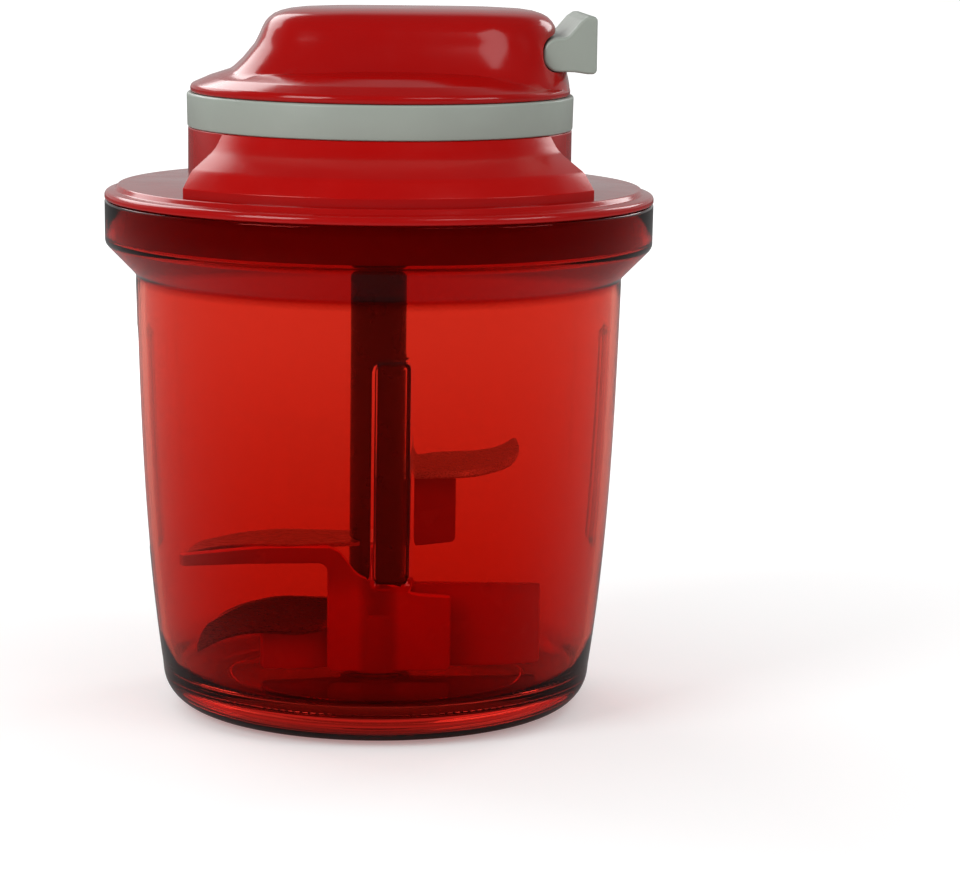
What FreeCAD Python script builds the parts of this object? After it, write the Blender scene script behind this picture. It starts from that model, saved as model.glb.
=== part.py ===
import FreeCAD, Part
import math
import os
import Sketcher

# Pull-cord food chopper: clear bowl, lift-off cover with the cord mechanism, and a blade unit.
#
# Millimetres, +Z up. The origin is the centre of the foot, on the axis that the blades turn about.
# +X is the way the grip is pulled. -Y is the front, where the cover's sloped fairing is.

Vector = FreeCAD.Vector

SIZES = [
    # bowl
    ("bowl_base_radius", 60.0, "side line met by the foot plane"),
    ("bowl_waist_radius", 66.5, "side line half way up"),
    ("bowl_neck_radius", 68.4, "outside, under the shoulder"),
    ("bowl_waist_height", 68.0, "where the side line bends"),
    ("bowl_neck_height", 122.6, "foot of the shoulder"),
    ("bowl_side_round", 300.0, "round where the side line bends"),
    ("bowl_corner", 12.0, "outside corner between side and foot"),
    ("bowl_wall", 2.3, "wall of the side"),
    ("foot_height", 0.6, "underside of the bowl above the table"),
    ("foot_width", 5.6, "flat ring that carries the rubber ring"),
    ("foot_recess", 3.6, "depth of the hollow under the floor"),
    ("floor_height", 8.0, "inside floor above the table"),
    ("rim_radius", 77.0, "outside of the rim ring"),
    ("shoulder_rise", 9.7, "shoulder, from the neck up to the rim ring"),
    ("rim_height", 11.8, "rim ring, tall"),
    ("rim_wall", 2.2, "wall of the rim ring"),
    ("shoulder_round", 2.5, "rounds at both ends of the shoulder"),
    ("flute_count", 4.0, "vertical flutes round the bowl"),
    ("flute_radius", 11.0, "radius of a flute's channel"),
    ("flute_depth", 1.7, "depth of a flute's channel"),
    ("flute_below", 16.9, "flute's lower centre, below the waist"),
    ("flute_over", 34.5, "flute's upper centre, over the waist"),
    ("flute_turn", 0.0, "degrees the flutes stand off the axes"),
    ("peg_radius", 4.0, "bearing peg on the floor"),
    ("peg_top", 40.0, "top of the bearing peg"),
    ("peg_base_radius", 7.0, "foot of the peg"),
    ("pad_width", 3.2, "non-skid ring, across"),
    ("pad_height", 2.2, "non-skid ring, tall"),
    # blade unit
    ("running_gap", 0.05, "radial clearance of a shaft or peg"),
    ("part_gap", 0.4, "clearance between pieces that move past each other"),
    ("column_radius", 7.9, "blade column"),
    ("column_gap", 4.6, "column's top below the cover's tube"),
    ("column_bottom", 9.2, "foot of the column, just over the floor"),
    ("socket_depth", 20.0, "hexagon socket in the column's top"),
    ("hub_radius", 10.4, "collar at the foot of the column"),
    ("hub_top", 26.0, "top of that collar"),
    ("vane_thickness", 2.6, "moulded fins that carry the blades"),
    ("vane_bottom", 10.4, "lower edge of the low fins"),
    ("vane_top", 31.9, "upper edge of the front fin at its right"),
    ("vane_slope", 2.5, "rise of that edge towards the arm"),
    ("side_vane_top", 34.5, "upper edge of the side fin"),
    ("front_vane_left", 15.0, "front fin, reach to -X below the arm"),
    ("arm_bend_place", 34.0, "where the front fin's arm bends forward, to -X"),
    ("arm_bend", 25.0, "degrees that it bends"),
    ("arm_round", 40.0, "inside round of that bend"),
    ("arm_length", 24.0, "arm beyond the bend"),
    ("arm_bottom", 41.7, "lower edge of that arm"),
    ("arm_top", 46.6, "upper edge of that arm"),
    ("arm_drop", 9.0, "slope from the arm down to the front fin, half way"),
    ("front_vane_right", 21.0, "front fin, reach to +X"),
    ("front_vane_set", 8.4, "front fin's distance from the axis"),
    ("side_vane_reach", 47.0, "side fin, reach from the axis"),
    ("side_vane_turn", -5.2, "degrees from +X"),
    ("high_vane_reach", 26.0, "high fin, reach from the axis"),
    ("high_vane_bottom", 43.8, "lower edge of the high fin"),
    ("low_vane_reach", 34.0, "low fin, reach from the axis"),
    ("high_blade_height", 66.0, "underside of the high blade"),
    ("high_blade_turn", 27.5, "degrees from +X"),
    ("blade_reach", 55.0, "tip of a blade from the axis"),
    ("blade_width", 17.0, "widest part of a blade"),
    ("blade_thickness", 1.2, "steel sheet"),
    ("blade_tip_sweep", 13.0, "how far the tip curves forward"),
    ("high_blade_roll", 15.0, "degrees that it leans about its own length"),
    ("left_blade_height", 46.9, "underside of the left blade"),
    ("left_blade_turn", 183.5, "degrees from +X"),
    ("left_blade_roll", -8.0, "degrees that it leans about its own length"),
    ("low_blade_height", 25.8, "underside of the low blade"),
    ("low_blade_turn", 192.8, "degrees from +X"),
    ("low_blade_roll", -34.0, "degrees that it leans about its own length"),
    # cover
    ("cover_wall", 2.4, "wall of cover and cap"),
    ("seat_gap", 0.2, "cover's rim above the bowl's rim"),
    ("disc_rise", 3.9, "flat top of the disc over the cover's rim"),
    ("disc_step", 1.6, "step down to the disc's outer rim"),
    ("disc_step_inset", 3.0, "width of that outer rim"),
    ("disc_edge_round", 1.3, "round on the outer edge"),
    ("skirt_gap", 0.5, "radial gap between skirt and bowl rim"),
    ("skirt_depth", 10.7, "skirt that reaches into the bowl"),
    ("housing_radius", 53.7, "round housing on the disc"),
    ("housing_height", 16.2, "housing, tall"),
    ("fairing_span", 110.0, "degrees that the front fairing covers"),
    ("fairing_radius", 70.4, "foot of the fairing"),
    ("fairing_step", 2.1, "upright edge at the fairing's foot"),
    ("fairing_knee_radius", 66.8, "where the slope rolls over"),
    ("fairing_knee_rise", 7.0, "height of that place over the disc"),
    ("fairing_heel_radius", 57.2, "where the slope turns up"),
    ("fairing_heel_rise", 12.2, "height of that place over the disc"),
    ("hub_tube_radius", 12.0, "tube round the shaft's lower bearing"),
    ("hub_tube_rise", 3.8, "top of that tube over the disc"),
    ("hub_tube_drop", 9.6, "foot of that tube under the disc's top"),
    ("bush_radius", 8.0, "outside of both bushes"),
    ("bush_flange", 10.6, "flange radius of both bushes"),
    ("bush_flange_height", 1.2, "flange thickness of both bushes"),
    ("seal_height", 3.0, "shaft seal under the lower bush"),
    ("port_radius", 8.3, "fill port in the disc"),
    ("port_place", 62.3, "fill port's distance from the axis"),
    ("port_wall", 1.2, "wall of the port's tube"),
    ("port_depth", 8.0, "length of the port's tube"),
    ("post_place", 41.0, "screw posts' distance from the axis"),
    ("post_radius", 4.4, "screw posts"),
    ("screw_radius", 1.5, "shank of the cover screws"),
    ("screw_head_radius", 2.8, "head of the cover screws"),
    ("screw_head_height", 1.8, "head of the cover screws"),
    ("screw_depth", 9.4, "seat of the cover screws' heads below the deck"),
    ("screw_reach", 2.8, "tip of the screws over the deck"),
    # grey band, deck and cap
    ("band_radius", 54.1, "grey band round the housing"),
    ("band_height", 9.5, "band, tall"),
    ("band_wall", 2.9, "band, across"),
    ("deck_rise", 7.0, "plate that closes the cap, over the housing"),
    ("deck_thickness", 2.4, "that plate"),
    ("deck_screw_place", 33.0, "deck screws' distance from the axis"),
    ("deck_screw_radius", 1.1, "shank of the deck screws"),
    ("deck_screw_head", 2.2, "head radius of the deck screws"),
    ("bush_drop", 2.0, "upper bush below the deck"),
    ("cap_rim_radius", 53.2, "edge of the cap"),
    ("cap_rim_height", 2.1, "edge of the cap, tall"),
    ("cap_slope_radius", 41.0, "where the boss starts to rise"),
    ("cap_slope_rise", 6.4, "height of the cap there, over the band"),
    ("cap_crown_rise", 10.1, "dome under the boss, over the band"),
    ("cap_skirt_drop", 5.6, "cap's skirt inside the band"),
    ("boss_left", 34.4, "hand boss, reach to -X"),
    ("boss_right", 50.0, "hand boss, reach to +X"),
    ("boss_half_width", 27.0, "hand boss, half width"),
    ("boss_left_corner", 18.0, "corner radius of the boss in plan"),
    ("boss_right_corner", 24.0, "corner radius of the boss in plan"),
    ("cavity_draft", 12.0, "degrees that the hollow of the boss narrows"),
    ("cavity_corner", 18.0, "corner radius of that hollow"),
    ("boss_rise", 11.0, "top of the hand boss over the cord"),
    ("boss_depth", 21.0, "boss, from its top down into the cap"),
    ("boss_flare", 12.0, "outset of its foot"),
    ("cord_rise", 13.2, "cord, reel and grip over the deck"),
    ("seat_place", 48.9, "centre of the grip's round seat"),
    ("grip_nose_radius", 5.2, "round nose of the grip"),
    # cord mechanism
    ("arbor_radius", 3.0, "fixed pin that the reel turns on"),
    ("arbor_lift", 1.6, "pin's lower end over the reel's web"),
    ("arbor_flange_radius", 6.0, "flange of the pin"),
    ("arbor_sink", 1.0, "pin let into the cap"),
    ("reel_flange_radius", 20.0, "both flanges of the reel"),
    ("reel_flange_height", 1.5, "both flanges of the reel"),
    ("reel_slot", 9.6, "height between the flanges"),
    ("reel_drum_radius", 14.2, "drum that the cord winds on"),
    ("reel_spring_radius", 11.8, "hollow for the spring"),
    ("reel_hub_radius", 7.5, "hub under the reel"),
    ("cord_diameter", 1.8, "braided cord"),
    ("cord_radius", 16.5, "mean radius of the wound cord"),
    ("spring_strip", 0.4, "thickness of the spring strip"),
    ("spring_height", 5.6, "width of the spring strip"),
    ("spring_turns", 6.0, "turns of the spring"),
    ("shaft_radius", 5.0, "drive shaft"),
    ("shaft_hex", 4.0, "half the width of the shaft's hexagon ends"),
    ("shaft_tip_gap", 2.0, "shaft's lower end over the socket's floor"),
    ("shaft_hex_drop", 1.0, "lower hexagon's top below the seal"),
    ("washer_height", 0.8, "washer under the reel"),
    ("clip_height", 1.0, "clip on the shaft"),
    ("clip_groove", 0.8, "depth of its groove"),
    ("clip_radius", 7.4, "outside of the clip"),
    ("eyelet_bore", 1.5, "hole of the cord eyelet"),
    ("eyelet_radius", 2.8, "outside of the cord eyelet"),
    ("eyelet_flange_radius", 4.2, "inner flange of the eyelet"),
    # grip
    ("grip_half_width", 19.0, "grip, half width"),
    ("grip_plate_inner", 53.0, "inner face of the grip's end bar"),
    ("grip_split", 56.0, "joint between grip and end plate"),
    ("grip_plate_outer", 58.6, "outer face of the end plate"),
    ("grip_plate_drop", 6.5, "lower edge of the end bar below the cord"),
    ("grip_plate_rise", 9.4, "upper edge of the end bar over the cord"),
    ("knot_radius", 3.0, "knot at the cord's end"),
    ("knot_gap", 0.4, "room round the knot"),
]


class Size:
    """A length that holds its number and the spreadsheet expression that gives it."""

    def __init__(self, value, text):
        self.value = float(value)
        self.text = text

    def __add__(self, other):
        other = as_size(other)
        return Size(self.value + other.value, f"({self.text} + {other.text})")

    def __sub__(self, other):
        other = as_size(other)
        return Size(self.value - other.value, f"({self.text} - {other.text})")

    def __mul__(self, other):
        other = as_size(other)
        return Size(self.value * other.value, f"({self.text} * {other.text})")

    def __truediv__(self, other):
        other = as_size(other)
        return Size(self.value / other.value, f"({self.text} / {other.text})")

    def turned(self, function, name):
        """The sine, cosine or tangent of this size, which is an angle in degrees."""
        return Size(function(math.radians(self.value)), f"{name}({self.text} * 1 deg)")

    def sine(self):
        return self.turned(math.sin, "sin")

    def cosine(self):
        return self.turned(math.cos, "cos")

    def tangent(self):
        return self.turned(math.tan, "tan")

    def __neg__(self):
        return Size(-self.value, f"(0 - {self.text})")

    __radd__ = __add__
    __rmul__ = __mul__

    def __rsub__(self, other):
        return as_size(other) - self


def as_size(number):
    return number if isinstance(number, Size) else Size(number, repr(float(number)))


doc = FreeCAD.newDocument("chopper")
sheet = doc.addObject("Spreadsheet::Sheet", "Sizes")
S = {}
for row, (name, value, note) in enumerate(SIZES, start=1):
    sheet.set(f"A{row}", name)
    sheet.set(f"B{row}", str(value))
    sheet.set(f"C{row}", note)
    sheet.setAlias(f"B{row}", name)
    S[name] = Size(value, f"Sizes.{name}")
doc.recompute()
pieces = []


def bind(target, path, size):
    target.setExpression(path, as_size(size).text)


def new_body(label):
    body = doc.addObject("PartDesign::Body", label)
    body.Label = label
    return body


def origin_feature(body, role):
    for feature in body.Origin.OriginFeatures:
        if feature.Role == role:
            return feature
    raise ValueError(role)


def new_sketch(body, role="XZ_Plane", lift=None):
    sketch = body.newObject("Sketcher::SketchObject", "Sketch")
    sketch.AttachmentSupport = [(origin_feature(body, role), "")]
    sketch.MapMode = "FlatFace"
    if lift is not None:
        bind(sketch, "AttachmentOffset.Base.z", lift)
    return sketch


def fix(sketch, geometry, end, x, y):
    """Place one end of a line, arc or point at (x, y)."""
    for kind, size in (("DistanceX", x), ("DistanceY", y)):
        index = sketch.addConstraint(Sketcher.Constraint(kind, -1, 1, geometry, end, size.value))
        bind(sketch, f"Constraints[{index}]", size)


def add_circle(sketch, x, y, radius):
    x, y, radius = as_size(x), as_size(y), as_size(radius)
    circle = Part.Circle(Vector(x.value, y.value, 0), Vector(0, 0, 1), radius.value)
    index = sketch.addGeometry(circle, False)
    fix(sketch, index, 3, x, y)
    number = sketch.addConstraint(Sketcher.Constraint("Radius", index, radius.value))
    bind(sketch, f"Constraints[{number}]", radius)


def add_outline(sketch, corners):
    """A closed outline of straight sides. A corner is (x, y) or (x, y, round radius)."""
    corners = [tuple(as_size(size) for size in corner) for corner in corners]
    count = len(corners)
    points = [Vector(corner[0].value, corner[1].value, 0) for corner in corners]
    starts, ends = list(points), list(points)
    for i, corner in enumerate(corners):
        if len(corner) == 3:
            back = (points[i - 1] - points[i]).normalize()
            ahead = (points[(i + 1) % count] - points[i]).normalize()
            half = back.getAngle(ahead) / 2
            reach = corner[2].value / math.tan(half)
            ends[i] = points[i] + back * reach
            starts[i] = points[i] + ahead * reach
    lines = []
    for i in range(count):
        segment = Part.LineSegment(starts[i], ends[(i + 1) % count])
        lines.append(sketch.addGeometry(segment, False))
    for i, corner in enumerate(corners):
        before, after = lines[i - 1], lines[i]
        if len(corner) == 2:
            sketch.addConstraint(Sketcher.Constraint("Coincident", before, 2, after, 1))
            fix(sketch, after, 1, corner[0], corner[1])
            continue
        round_corner(sketch, before, after, points[i], ends[i], starts[i], corner)


def round_corner(sketch, before, after, point, arc_start, arc_end, corner):
    radius = corner[2].value
    half_chord = (arc_end - arc_start).Length / 2
    to_centre = ((arc_start + arc_end) * 0.5 - point).normalize()
    centre = (arc_start + arc_end) * 0.5 + to_centre * (radius * radius - half_chord * half_chord) ** 0.5
    spokes = [arc_start - centre, arc_end - centre]
    first, last = (1, 2)
    if spokes[0].cross(spokes[1]).z < 0:
        first, last = (2, 1)
        spokes.reverse()
    angles = [math.atan2(spoke.y, spoke.x) for spoke in spokes]
    circle = Part.Circle(centre, Vector(0, 0, 1), radius)
    arc = sketch.addGeometry(Part.ArcOfCircle(circle, angles[0], angles[1]), False)
    sketch.addConstraint(Sketcher.Constraint("Tangent", before, 2, arc, first))
    sketch.addConstraint(Sketcher.Constraint("Tangent", after, 1, arc, last))
    number = sketch.addConstraint(Sketcher.Constraint("Radius", arc, radius))
    bind(sketch, f"Constraints[{number}]", corner[2])
    place = sketch.addGeometry(Part.Point(point), True)
    fix(sketch, place, 1, corner[0], corner[1])
    sketch.addConstraint(Sketcher.Constraint("PointOnObject", place, 1, before))
    sketch.addConstraint(Sketcher.Constraint("PointOnObject", place, 1, after))


def add_hexagon(sketch, half):
    """A hexagon with two flats square to X, `half` from the middle."""
    side = half * (1 / math.sqrt(3))
    add_outline(sketch, [
        (half, side),
        (0, side * 2),
        (-half, side),
        (-half, -side),
        (0, -side * 2),
        (half, -side),
    ])


def use(body, feature):
    body.Tip = feature
    doc.recompute()
    return feature


def turn(body, corners, cut=False, role="XZ_Plane", span=None):
    """Add or cut the shape that an outline sweeps round the body's Z axis."""
    sketch = new_sketch(body, role)
    add_outline(sketch, corners)
    feature = body.newObject("PartDesign::Groove" if cut else "PartDesign::Revolution", "Turned")
    feature.Profile = sketch
    feature.ReferenceAxis = (sketch, ["V_Axis"])
    feature.Angle = 360
    if span is not None:
        feature.Midplane = True
        bind(feature, "Angle", span)
    return use(body, feature)


def extrude(body, sketch, length, cut=False, both=False, taper=None):
    """Pad a sketch along its normal, or cut along it."""
    feature = body.newObject("PartDesign::Pocket" if cut else "PartDesign::Pad", "Extruded")
    feature.Profile = sketch
    bind(feature, "Length", length)
    if both:
        feature.Midplane = True
    elif cut:
        feature.Reversed = True
    if taper is not None:
        bind(feature, "TaperAngle", taper)
    return use(body, feature)


def turn_sketch(sketch, angle):
    """Turn a sketch about its own normal."""
    sketch.AttachmentOffset = FreeCAD.Placement(Vector(), FreeCAD.Rotation(Vector(0, 0, 1), 10))
    bind(sketch, "AttachmentOffset.Rotation.Angle", angle)


def rectangle(left, right, low, high):
    return [(left, low), (right, low), (right, high), (left, high)]


def ring(label, inner, outer, low, high):
    body = new_body(label)
    turn(body, rectangle(inner, outer, low, high))
    pieces.append(body)
    return body


def cylinder(name, radius, low, high, x=0, y=0):
    solid = doc.addObject("Part::Cylinder", name)
    bind(solid, "Radius", radius)
    bind(solid, "Height", high - low)
    bind(solid, "Placement.Base.x", x)
    bind(solid, "Placement.Base.y", y)
    bind(solid, "Placement.Base.z", low)
    return solid


def boolean(kind, name, base, tool):
    result = doc.addObject(f"Part::{kind}", name)
    result.Base = base
    result.Tool = tool
    result.Label = name
    doc.recompute()
    return result


# Heights and radii that several pieces share
gap = S["part_gap"]
wall = S["cover_wall"]
side_lean = (S["bowl_waist_radius"] - S["bowl_base_radius"]) / (S["bowl_waist_height"] - S["foot_height"])
neck_lean = (S["bowl_neck_radius"] - S["bowl_waist_radius"]) / (S["bowl_neck_height"] - S["bowl_waist_height"])
foot_outer = S["bowl_base_radius"] - S["bowl_corner"]
foot_inner = foot_outer - S["foot_width"]
pad_inner = (foot_outer + foot_inner) / 2 - S["pad_width"] / 2
pad_outer = pad_inner + S["pad_width"]
rim_inner = S["rim_radius"] - S["rim_wall"]
flute_bottom = S["bowl_waist_height"] - S["flute_below"]
flute_top = S["bowl_waist_height"] + S["flute_over"]
rim_bottom = S["bowl_neck_height"] + S["shoulder_rise"]
rim_top = rim_bottom + S["rim_height"]
rim_seat = rim_top + S["seat_gap"]
disc_top = rim_seat + S["disc_rise"]
disc_bottom = disc_top - wall
hub_tube_top = disc_top + S["hub_tube_rise"]
hub_tube_bottom = disc_top - S["hub_tube_drop"]
housing_top = disc_top + S["housing_height"]
band_top = housing_top + S["band_height"]
deck_bottom = housing_top + S["deck_rise"]
deck_top = deck_bottom + S["deck_thickness"]
cord_height = deck_top + S["cord_rise"]
boss_top = cord_height + S["boss_rise"]
cap_slope_height = band_top + S["cap_slope_rise"]
cap_crown = band_top + S["cap_crown_rise"]
screw_seat = deck_bottom - S["screw_depth"]
screw_tip = deck_top + S["screw_reach"]
column_top = hub_tube_bottom - S["column_gap"]
shaft_bottom = column_top - S["socket_depth"] + S["shaft_tip_gap"]
shaft_hex_top = hub_tube_bottom - S["shaft_hex_drop"]
grip_plate_bottom = cord_height - S["grip_plate_drop"]
grip_plate_top = cord_height + S["grip_plate_rise"]
band_inner = S["band_radius"] - S["band_wall"]
housing_inner = S["housing_radius"] - wall
bush_top = deck_top + S["bush_flange_height"]
reel_hub_bottom = bush_top + S["washer_height"] + S["running_gap"]
slot_bottom = cord_height - S["reel_slot"] / 2
slot_top = slot_bottom + S["reel_slot"]
arbor_bottom = slot_bottom + S["arbor_lift"]
ceiling = boss_top - wall
shaft_hole = S["shaft_radius"] + S["running_gap"]
seat_radius = S["grip_nose_radius"] + gap
seat_back = S["seat_place"] - seat_radius
port_outer = S["port_radius"] + S["port_wall"]


def side_radius(height):
    return S["bowl_base_radius"] + side_lean * (height - S["foot_height"])


def neck_side_radius(height):
    return S["bowl_waist_radius"] + neck_lean * (height - S["bowl_waist_height"])


# Bowl -----------------------------------------------------------------------------------------------
def flute_capsules(name, radius):
    """Round-ended rods round the bowl, along its side: the channels, or larger, the ribs inside."""
    out = S["flute_radius"] - S["flute_depth"]
    places = [
        Vector((side_radius(flute_bottom) + out).value, 0, flute_bottom.value),
        Vector((S["bowl_waist_radius"] + out).value, 0, S["bowl_waist_height"].value),
        Vector((neck_side_radius(flute_top) + out).value, 0, flute_top.value),
    ]
    shapes = [Part.makeSphere(radius.value, place) for place in places]
    for low, high in zip(places, places[1:]):
        shapes.append(Part.makeCylinder(radius.value, (high - low).Length, low, high - low))
    rod = shapes[0].fuse(shapes[1:]).removeSplitter()
    rods = []
    count = int(S["flute_count"].value)
    for i in range(count):
        copy = rod.copy()
        copy.rotate(Vector(), Vector(0, 0, 1), 360.0 * i / count - S["flute_turn"].value)
        rods.append(copy)
    feature = doc.addObject("Part::Feature", name)
    feature.Shape = Part.makeCompound(rods)
    return feature


def make_bowl():
    outside = new_body("bowl_outside")
    turn(outside, [
        (0, S["foot_height"] + S["foot_recess"]),
        (foot_inner, S["foot_height"] + S["foot_recess"]),
        (foot_inner, S["foot_height"]),
        (pad_inner, S["foot_height"]),
        (pad_inner, S["pad_height"]),
        (pad_outer, S["pad_height"]),
        (pad_outer, S["foot_height"]),
        (S["bowl_base_radius"], S["foot_height"], S["bowl_corner"]),
        (S["bowl_waist_radius"], S["bowl_waist_height"], S["bowl_side_round"]),
        (S["bowl_neck_radius"], S["bowl_neck_height"], S["shoulder_round"]),
        (S["rim_radius"], rim_bottom, S["shoulder_round"]),
        (S["rim_radius"], rim_top),
        (0, rim_top),
    ])
    inside = new_body("bowl_inside")
    above_rim = rim_top + 1
    side_wall = S["bowl_wall"]
    turn(inside, [
        (0, S["peg_top"]),
        (S["peg_radius"], S["peg_top"]),
        (S["peg_radius"], S["floor_height"] + (S["peg_base_radius"] - S["peg_radius"]) / 2),
        (S["peg_base_radius"], S["floor_height"]),
        (side_radius(S["floor_height"]) - side_wall, S["floor_height"], S["bowl_corner"] - side_wall),
        (S["bowl_waist_radius"] - side_wall, S["bowl_waist_height"], S["bowl_side_round"]),
        (S["bowl_neck_radius"] - side_wall, S["bowl_neck_height"] + side_wall / 2, S["shoulder_round"]),
        (rim_inner, rim_bottom + S["rim_wall"] / 2, S["shoulder_round"]),
        (rim_inner, above_rim),
        (0, above_rim),
    ])
    ribs = flute_capsules("flute_ribs", S["flute_radius"] + side_wall)
    channels = flute_capsules("flute_channels", S["flute_radius"])
    hollow = boolean("Cut", "bowl_hollow", inside, ribs)
    fluted = boolean("Cut", "bowl_fluted", outside, channels)
    pieces.append(boolean("Cut", "bowl", fluted, hollow))
    ring("non_skid_ring", pad_inner, pad_outer, as_size(0), S["pad_height"])


# Blade unit -----------------------------------------------------------------------------------------
def add_fin(body, reach, low, high, angle):
    """An upright plate from the column outwards."""
    sketch = new_sketch(body, "XY_Plane", low)
    turn_sketch(sketch, angle)
    half = S["vane_thickness"] / 2
    add_outline(sketch, rectangle(S["peg_radius"] * 1.5, reach, -half, half))
    extrude(body, sketch, high - low)


def add_front_fin(body):
    """The plate in front of the column, and the arm that it carries to the left and forward."""
    front = new_sketch(body, "XZ_Plane", S["front_vane_set"])
    left = S["front_vane_left"]
    add_outline(front, [
        (-left, S["vane_bottom"]),
        (S["front_vane_right"], S["vane_bottom"]),
        (S["front_vane_right"], S["vane_top"]),
        (S["front_vane_right"] / 4, S["vane_top"] + S["vane_slope"]),
        (-left / 3, S["arm_top"] - S["arm_drop"]),
        (-left, S["arm_top"]),
    ])
    thickness = S["vane_thickness"]
    extrude(body, front, thickness, both=True)
    arm = new_sketch(body, "XY_Plane", S["arm_bottom"])
    back = -(S["front_vane_set"] - thickness / 2)
    face = back - thickness
    across = S["arm_length"] * S["arm_bend"].cosine()
    forward = S["arm_length"] * S["arm_bend"].sine()
    add_outline(arm, [
        (-left / 2, back),
        (-S["arm_bend_place"], back, S["arm_round"] + thickness),
        (-(S["arm_bend_place"] + across), back - forward),
        (-(S["arm_bend_place"] + across) + thickness * S["arm_bend"].sine(),
         back - forward - thickness * S["arm_bend"].cosine()),
        (-S["arm_bend_place"] + thickness * (S["arm_bend"] / 2).tangent(), face, S["arm_round"]),
        (-left / 2, face),
    ])
    extrude(body, arm, S["arm_top"] - S["arm_bottom"])


def make_blade(label):
    """A sickle of sheet steel whose root is moulded into the column."""
    height = S[label + "_height"]
    angle = S[label + "_turn"]
    roll = S[label + "_roll"]
    body = new_body(label)
    sketch = new_sketch(body, "XY_Plane")
    root = S["column_radius"] * 0.7
    reach = S["blade_reach"]
    width = S["blade_width"]
    bend = width * 1.5
    add_outline(sketch, [
        (root, -width * 0.35),
        (reach * 0.5, -width * 0.5, bend),
        (reach * 0.9, -width * 0.2, bend),
        (reach, S["blade_tip_sweep"]),
        (reach * 0.78, width * 0.3, bend),
        (reach * 0.45, width * 0.45, bend),
        (root, width * 0.35),
    ])
    extrude(body, sketch, S["blade_thickness"])
    turned = FreeCAD.Rotation(Vector(0, 0, 1), angle.value)
    rolled = FreeCAD.Rotation(Vector(1, 0, 0), roll.value)
    body.Placement = FreeCAD.Placement(Vector(0, 0, height.value), turned * rolled)
    doc.recompute()
    pieces.append(body)
    return body


def make_blade_unit():
    """The column with its fins, moulded round the roots of three blades."""
    body = new_body("blade_moulding")
    bore = S["peg_radius"] + S["running_gap"]
    bore_top = S["peg_top"] + gap
    turn(body, [
        (bore, S["column_bottom"]),
        (S["hub_radius"], S["column_bottom"]),
        (S["hub_radius"], S["hub_top"]),
        (S["column_radius"], S["hub_top"] + (S["hub_radius"] - S["column_radius"])),
        (S["column_radius"], column_top),
        (0, column_top),
        (0, bore_top),
        (bore, bore_top),
    ])
    relief = new_sketch(body, "XY_Plane", S["column_bottom"])
    add_circle(relief, 0, 0, S["peg_base_radius"] + gap)
    extrude(body, relief, (S["peg_base_radius"] - S["peg_radius"]) / 2, cut=True)
    socket = new_sketch(body, "XY_Plane", column_top - S["socket_depth"])
    add_hexagon(socket, S["shaft_hex"] + gap / 2)
    extrude(body, socket, S["socket_depth"] + 1, cut=True)
    add_front_fin(body)
    add_fin(body, S["side_vane_reach"], S["vane_bottom"], S["side_vane_top"], S["side_vane_turn"])
    add_fin(body, S["high_vane_reach"], S["high_vane_bottom"], S["high_blade_height"] + gap,
            S["high_blade_turn"])
    add_fin(body, S["low_vane_reach"], S["vane_bottom"], S["low_blade_height"] + gap, S["low_blade_turn"])
    blades = [make_blade("high_blade"), make_blade("left_blade"), make_blade("low_blade")]
    roots = doc.addObject("Part::MultiFuse", "blade_roots")
    roots.Shapes = blades
    doc.recompute()
    pieces.append(boolean("Cut", "blade_column", body, roots))


# Cover ----------------------------------------------------------------------------------------------
def post_places():
    """Four places on a circle, half way between the axes."""
    step = S["post_place"] * math.sqrt(0.5)
    return [(step, step), (-step, step), (-step, -step), (step, -step)]


def add_posts(body, places, radius, low, high, cut=False):
    sketch = new_sketch(body, "XY_Plane", low)
    for x, y in places:
        add_circle(sketch, x, y, radius)
    extrude(body, sketch, high - low, cut)


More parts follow.
